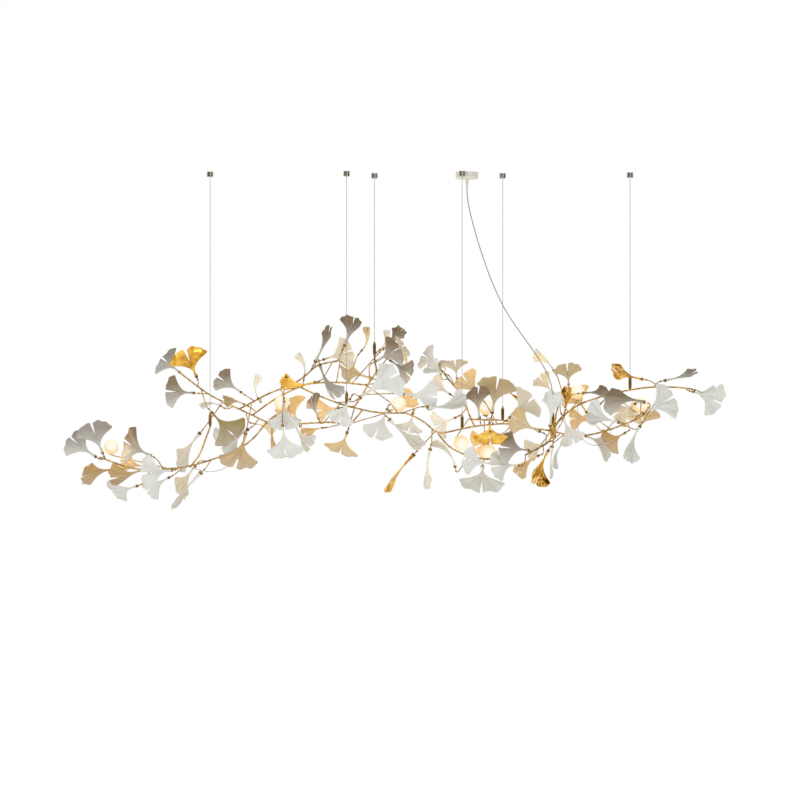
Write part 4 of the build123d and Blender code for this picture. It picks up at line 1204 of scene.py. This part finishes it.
class CHANDELIER_OT_studio(bpy.types.Operator):
    """Set the floor, the light and the camera"""

    bl_idname = "chandelier.studio"
    bl_label = "Studio"

    def execute(self, context):
        scene = context.scene
        scene.view_settings.view_transform = "Standard"
        corners = [(x, y, FLOOR_HEIGHT) for x, y in FLOOR_CORNERS]
        mesh = mesh_of("studio_floor", corners, [(0, 1, 2, 3)])
        paint = speckled("pale_studio_floor", "EFEFED", "EBEBE9", 0.02, 0.7, 0.0)
        # The floor stays pale where it is seen or mirrored, and keeps the shadow
        tree = paint.node_tree
        ray = add_node(tree, "ShaderNodeLightPath").outputs
        rays = {0: ray["Is Glossy Ray"], 1: ray["Is Transmission Ray"]}
        mirrored = add_node(tree, MATH, rays, operation="MAXIMUM").outputs[0]
        rays = {0: ray["Is Camera Ray"], 1: mirrored}
        seen = add_node(tree, MATH, rays, operation="MAXIMUM").outputs[0]
        lift = add_node(tree, MATH, {0: seen, 1: FLOOR_LIFT}, operation="MULTIPLY").outputs[0]
        skin = tree.nodes["Principled BSDF"]
        join(tree, skin, {"Emission Color": WHITE, "Emission Strength": lift})
        new_piece("studio_floor", mesh, paint)

        world = bpy.data.worlds.new("studio_world")
        scene.world = world
        world.use_nodes = True
        tree = world.node_tree
        tree.nodes.clear()
        ray = add_node(tree, "ShaderNodeLightPath").outputs
        direction = add_node(tree, "ShaderNodeTexCoord").outputs["Generated"]
        parts = add_node(tree, "ShaderNodeSeparateXYZ", {0: direction}).outputs
        height = add_node(tree, RANGE, {"Value": parts["Z"], 1: -1.0, 2: 1.0}).outputs[0]
        # Softer and browner light from above than from the pale floor below
        tones = [(0.3, "F4F8F8"), (0.75, "B5AA9B")]
        sky = add_node(tree, RAMP, {"Fac": height}, tones).outputs["Color"]
        soft = add_node(tree, BACKGROUND, {"Color": sky, "Strength": 1.0}).outputs[0]
        plain = add_node(tree, BACKGROUND, {"Color": WHITE, "Strength": 1.0}).outputs[0]
        # Metal shows the white backdrop behind the branch, and on the viewer's side a room with a pale
        # floor, a dark wall and a bright ceiling
        tones = [(0.28, "F2EEE4"), (0.78, "FFFFFF")]
        tones += [(0.42, "5B4C3B"), (0.56, "43372A"), (0.68, "A79B8A")]
        room = add_node(tree, RAMP, {"Fac": height}, tones).outputs["Color"]
        behind = add_node(tree, RANGE, {"Value": parts["Y"], 1: 0.0, 2: 0.35}).outputs[0]
        shown = add_node(
            tree, "ShaderNodeMix", {0: behind, 6: room, 7: WHITE}, data_type="RGBA"
        ).outputs[2]
        mirror = add_node(tree, BACKGROUND, {"Color": shown, "Strength": 1.0}).outputs[0]
        rays = {0: ray["Is Camera Ray"], 1: ray["Is Transmission Ray"]}
        seen = add_node(tree, MATH, rays, operation="MAXIMUM").outputs[0]
        shades = {0: ray["Is Glossy Ray"], 1: soft, 2: mirror}
        first = add_node(tree, "ShaderNodeMixShader", shades).outputs[0]
        both = add_node(tree, "ShaderNodeMixShader", {0: seen, 1: first, 2: plain}).outputs[0]
        add_node(tree, "ShaderNodeOutputWorld", {"Surface": both})

        for name, place, size, power in STUDIO_LAMPS:
            light = bpy.data.lights.new(name, "AREA")
            light.size = size
            light.energy = power
            lamp = new_piece(name, light)
            lamp.location = place
            aim = np.array([VIEW_MIDDLE[0], 0, VIEW_MIDDLE[1]]) - np.array(place)
            lamp.rotation_euler = Matrix(turned_axes(-aim).T.tolist()).to_euler()

        camera = bpy.data.cameras.new("photo_camera")
        camera.sensor_width = SENSOR_WIDTH
        camera.lens = SENSOR_WIDTH * VIEW_DISTANCE / VIEW_WIDTH
        camera.clip_end = 100
        view = new_piece("photo_camera", camera)
        view.location = (VIEW_MIDDLE[0], -VIEW_DISTANCE, VIEW_MIDDLE[1])
        view.rotation_euler = (pi / 2, 0, 0)
        scene.camera = view
        return {"FINISHED"}


OPERATORS = [
    CHANDELIER_OT_power_cord,
    CHANDELIER_OT_steel_cables,
    CHANDELIER_OT_feed_wires,
    CHANDELIER_OT_porcelain_leaves,
    CHANDELIER_OT_gilded_leaves,
    CHANDELIER_OT_brass_branches,
    CHANDELIER_OT_globe_lamps,
    CHANDELIER_OT_ceiling_fittings,
    CHANDELIER_OT_studio,
]


class CHANDELIER_PT_pieces(bpy.types.Panel):
    """Lists the sizes, the glazes and the pieces"""

    bl_idname = "CHANDELIER_PT_pieces"
    bl_label = "Leaf chandelier"
    bl_space_type = "VIEW_3D"
    bl_region_type = "UI"
    bl_category = "Chandelier"

    def draw(self, context):
        for name in SETTINGS:
            group = getattr(context.scene, name)
            for key in group.bl_rna.properties.keys():
                if key not in ("rna_type", "name"):
                    self.layout.prop(group, key)
        for operator in OPERATORS:
            self.layout.operator(operator.bl_idname)


SETTINGS = {
    "chandelier_leaves": LeafSizes,
    "chandelier_cords": CordSizes,
    "chandelier_lamps": LampSizes,
    "chandelier_glazes": GlazeAndPaintedLightColours,
}


def register():
    for name, group in SETTINGS.items():
        bpy.utils.register_class(group)
        setattr(bpy.types.Scene, name, bpy.props.PointerProperty(type=group))
    for operator in OPERATORS:
        bpy.utils.register_class(operator)
    bpy.utils.register_class(CHANDELIER_PT_pieces)


def unregister():
    bpy.utils.unregister_class(CHANDELIER_PT_pieces)
    for operator in reversed(OPERATORS):
        bpy.utils.unregister_class(operator)
    for name, group in SETTINGS.items():
        delattr(bpy.types.Scene, name)
        bpy.utils.unregister_class(group)


def main():
    register()
    bpy.ops.chandelier.studio()
    bpy.ops.chandelier.power_cord()
    bpy.ops.chandelier.steel_cables()
    bpy.ops.chandelier.feed_wires()
    bpy.ops.chandelier.porcelain_leaves()
    bpy.ops.chandelier.gilded_leaves()
    bpy.ops.chandelier.brass_branches()
    bpy.ops.chandelier.globe_lamps()
    bpy.ops.chandelier.ceiling_fittings()


if __name__ == "__main__":
    main()
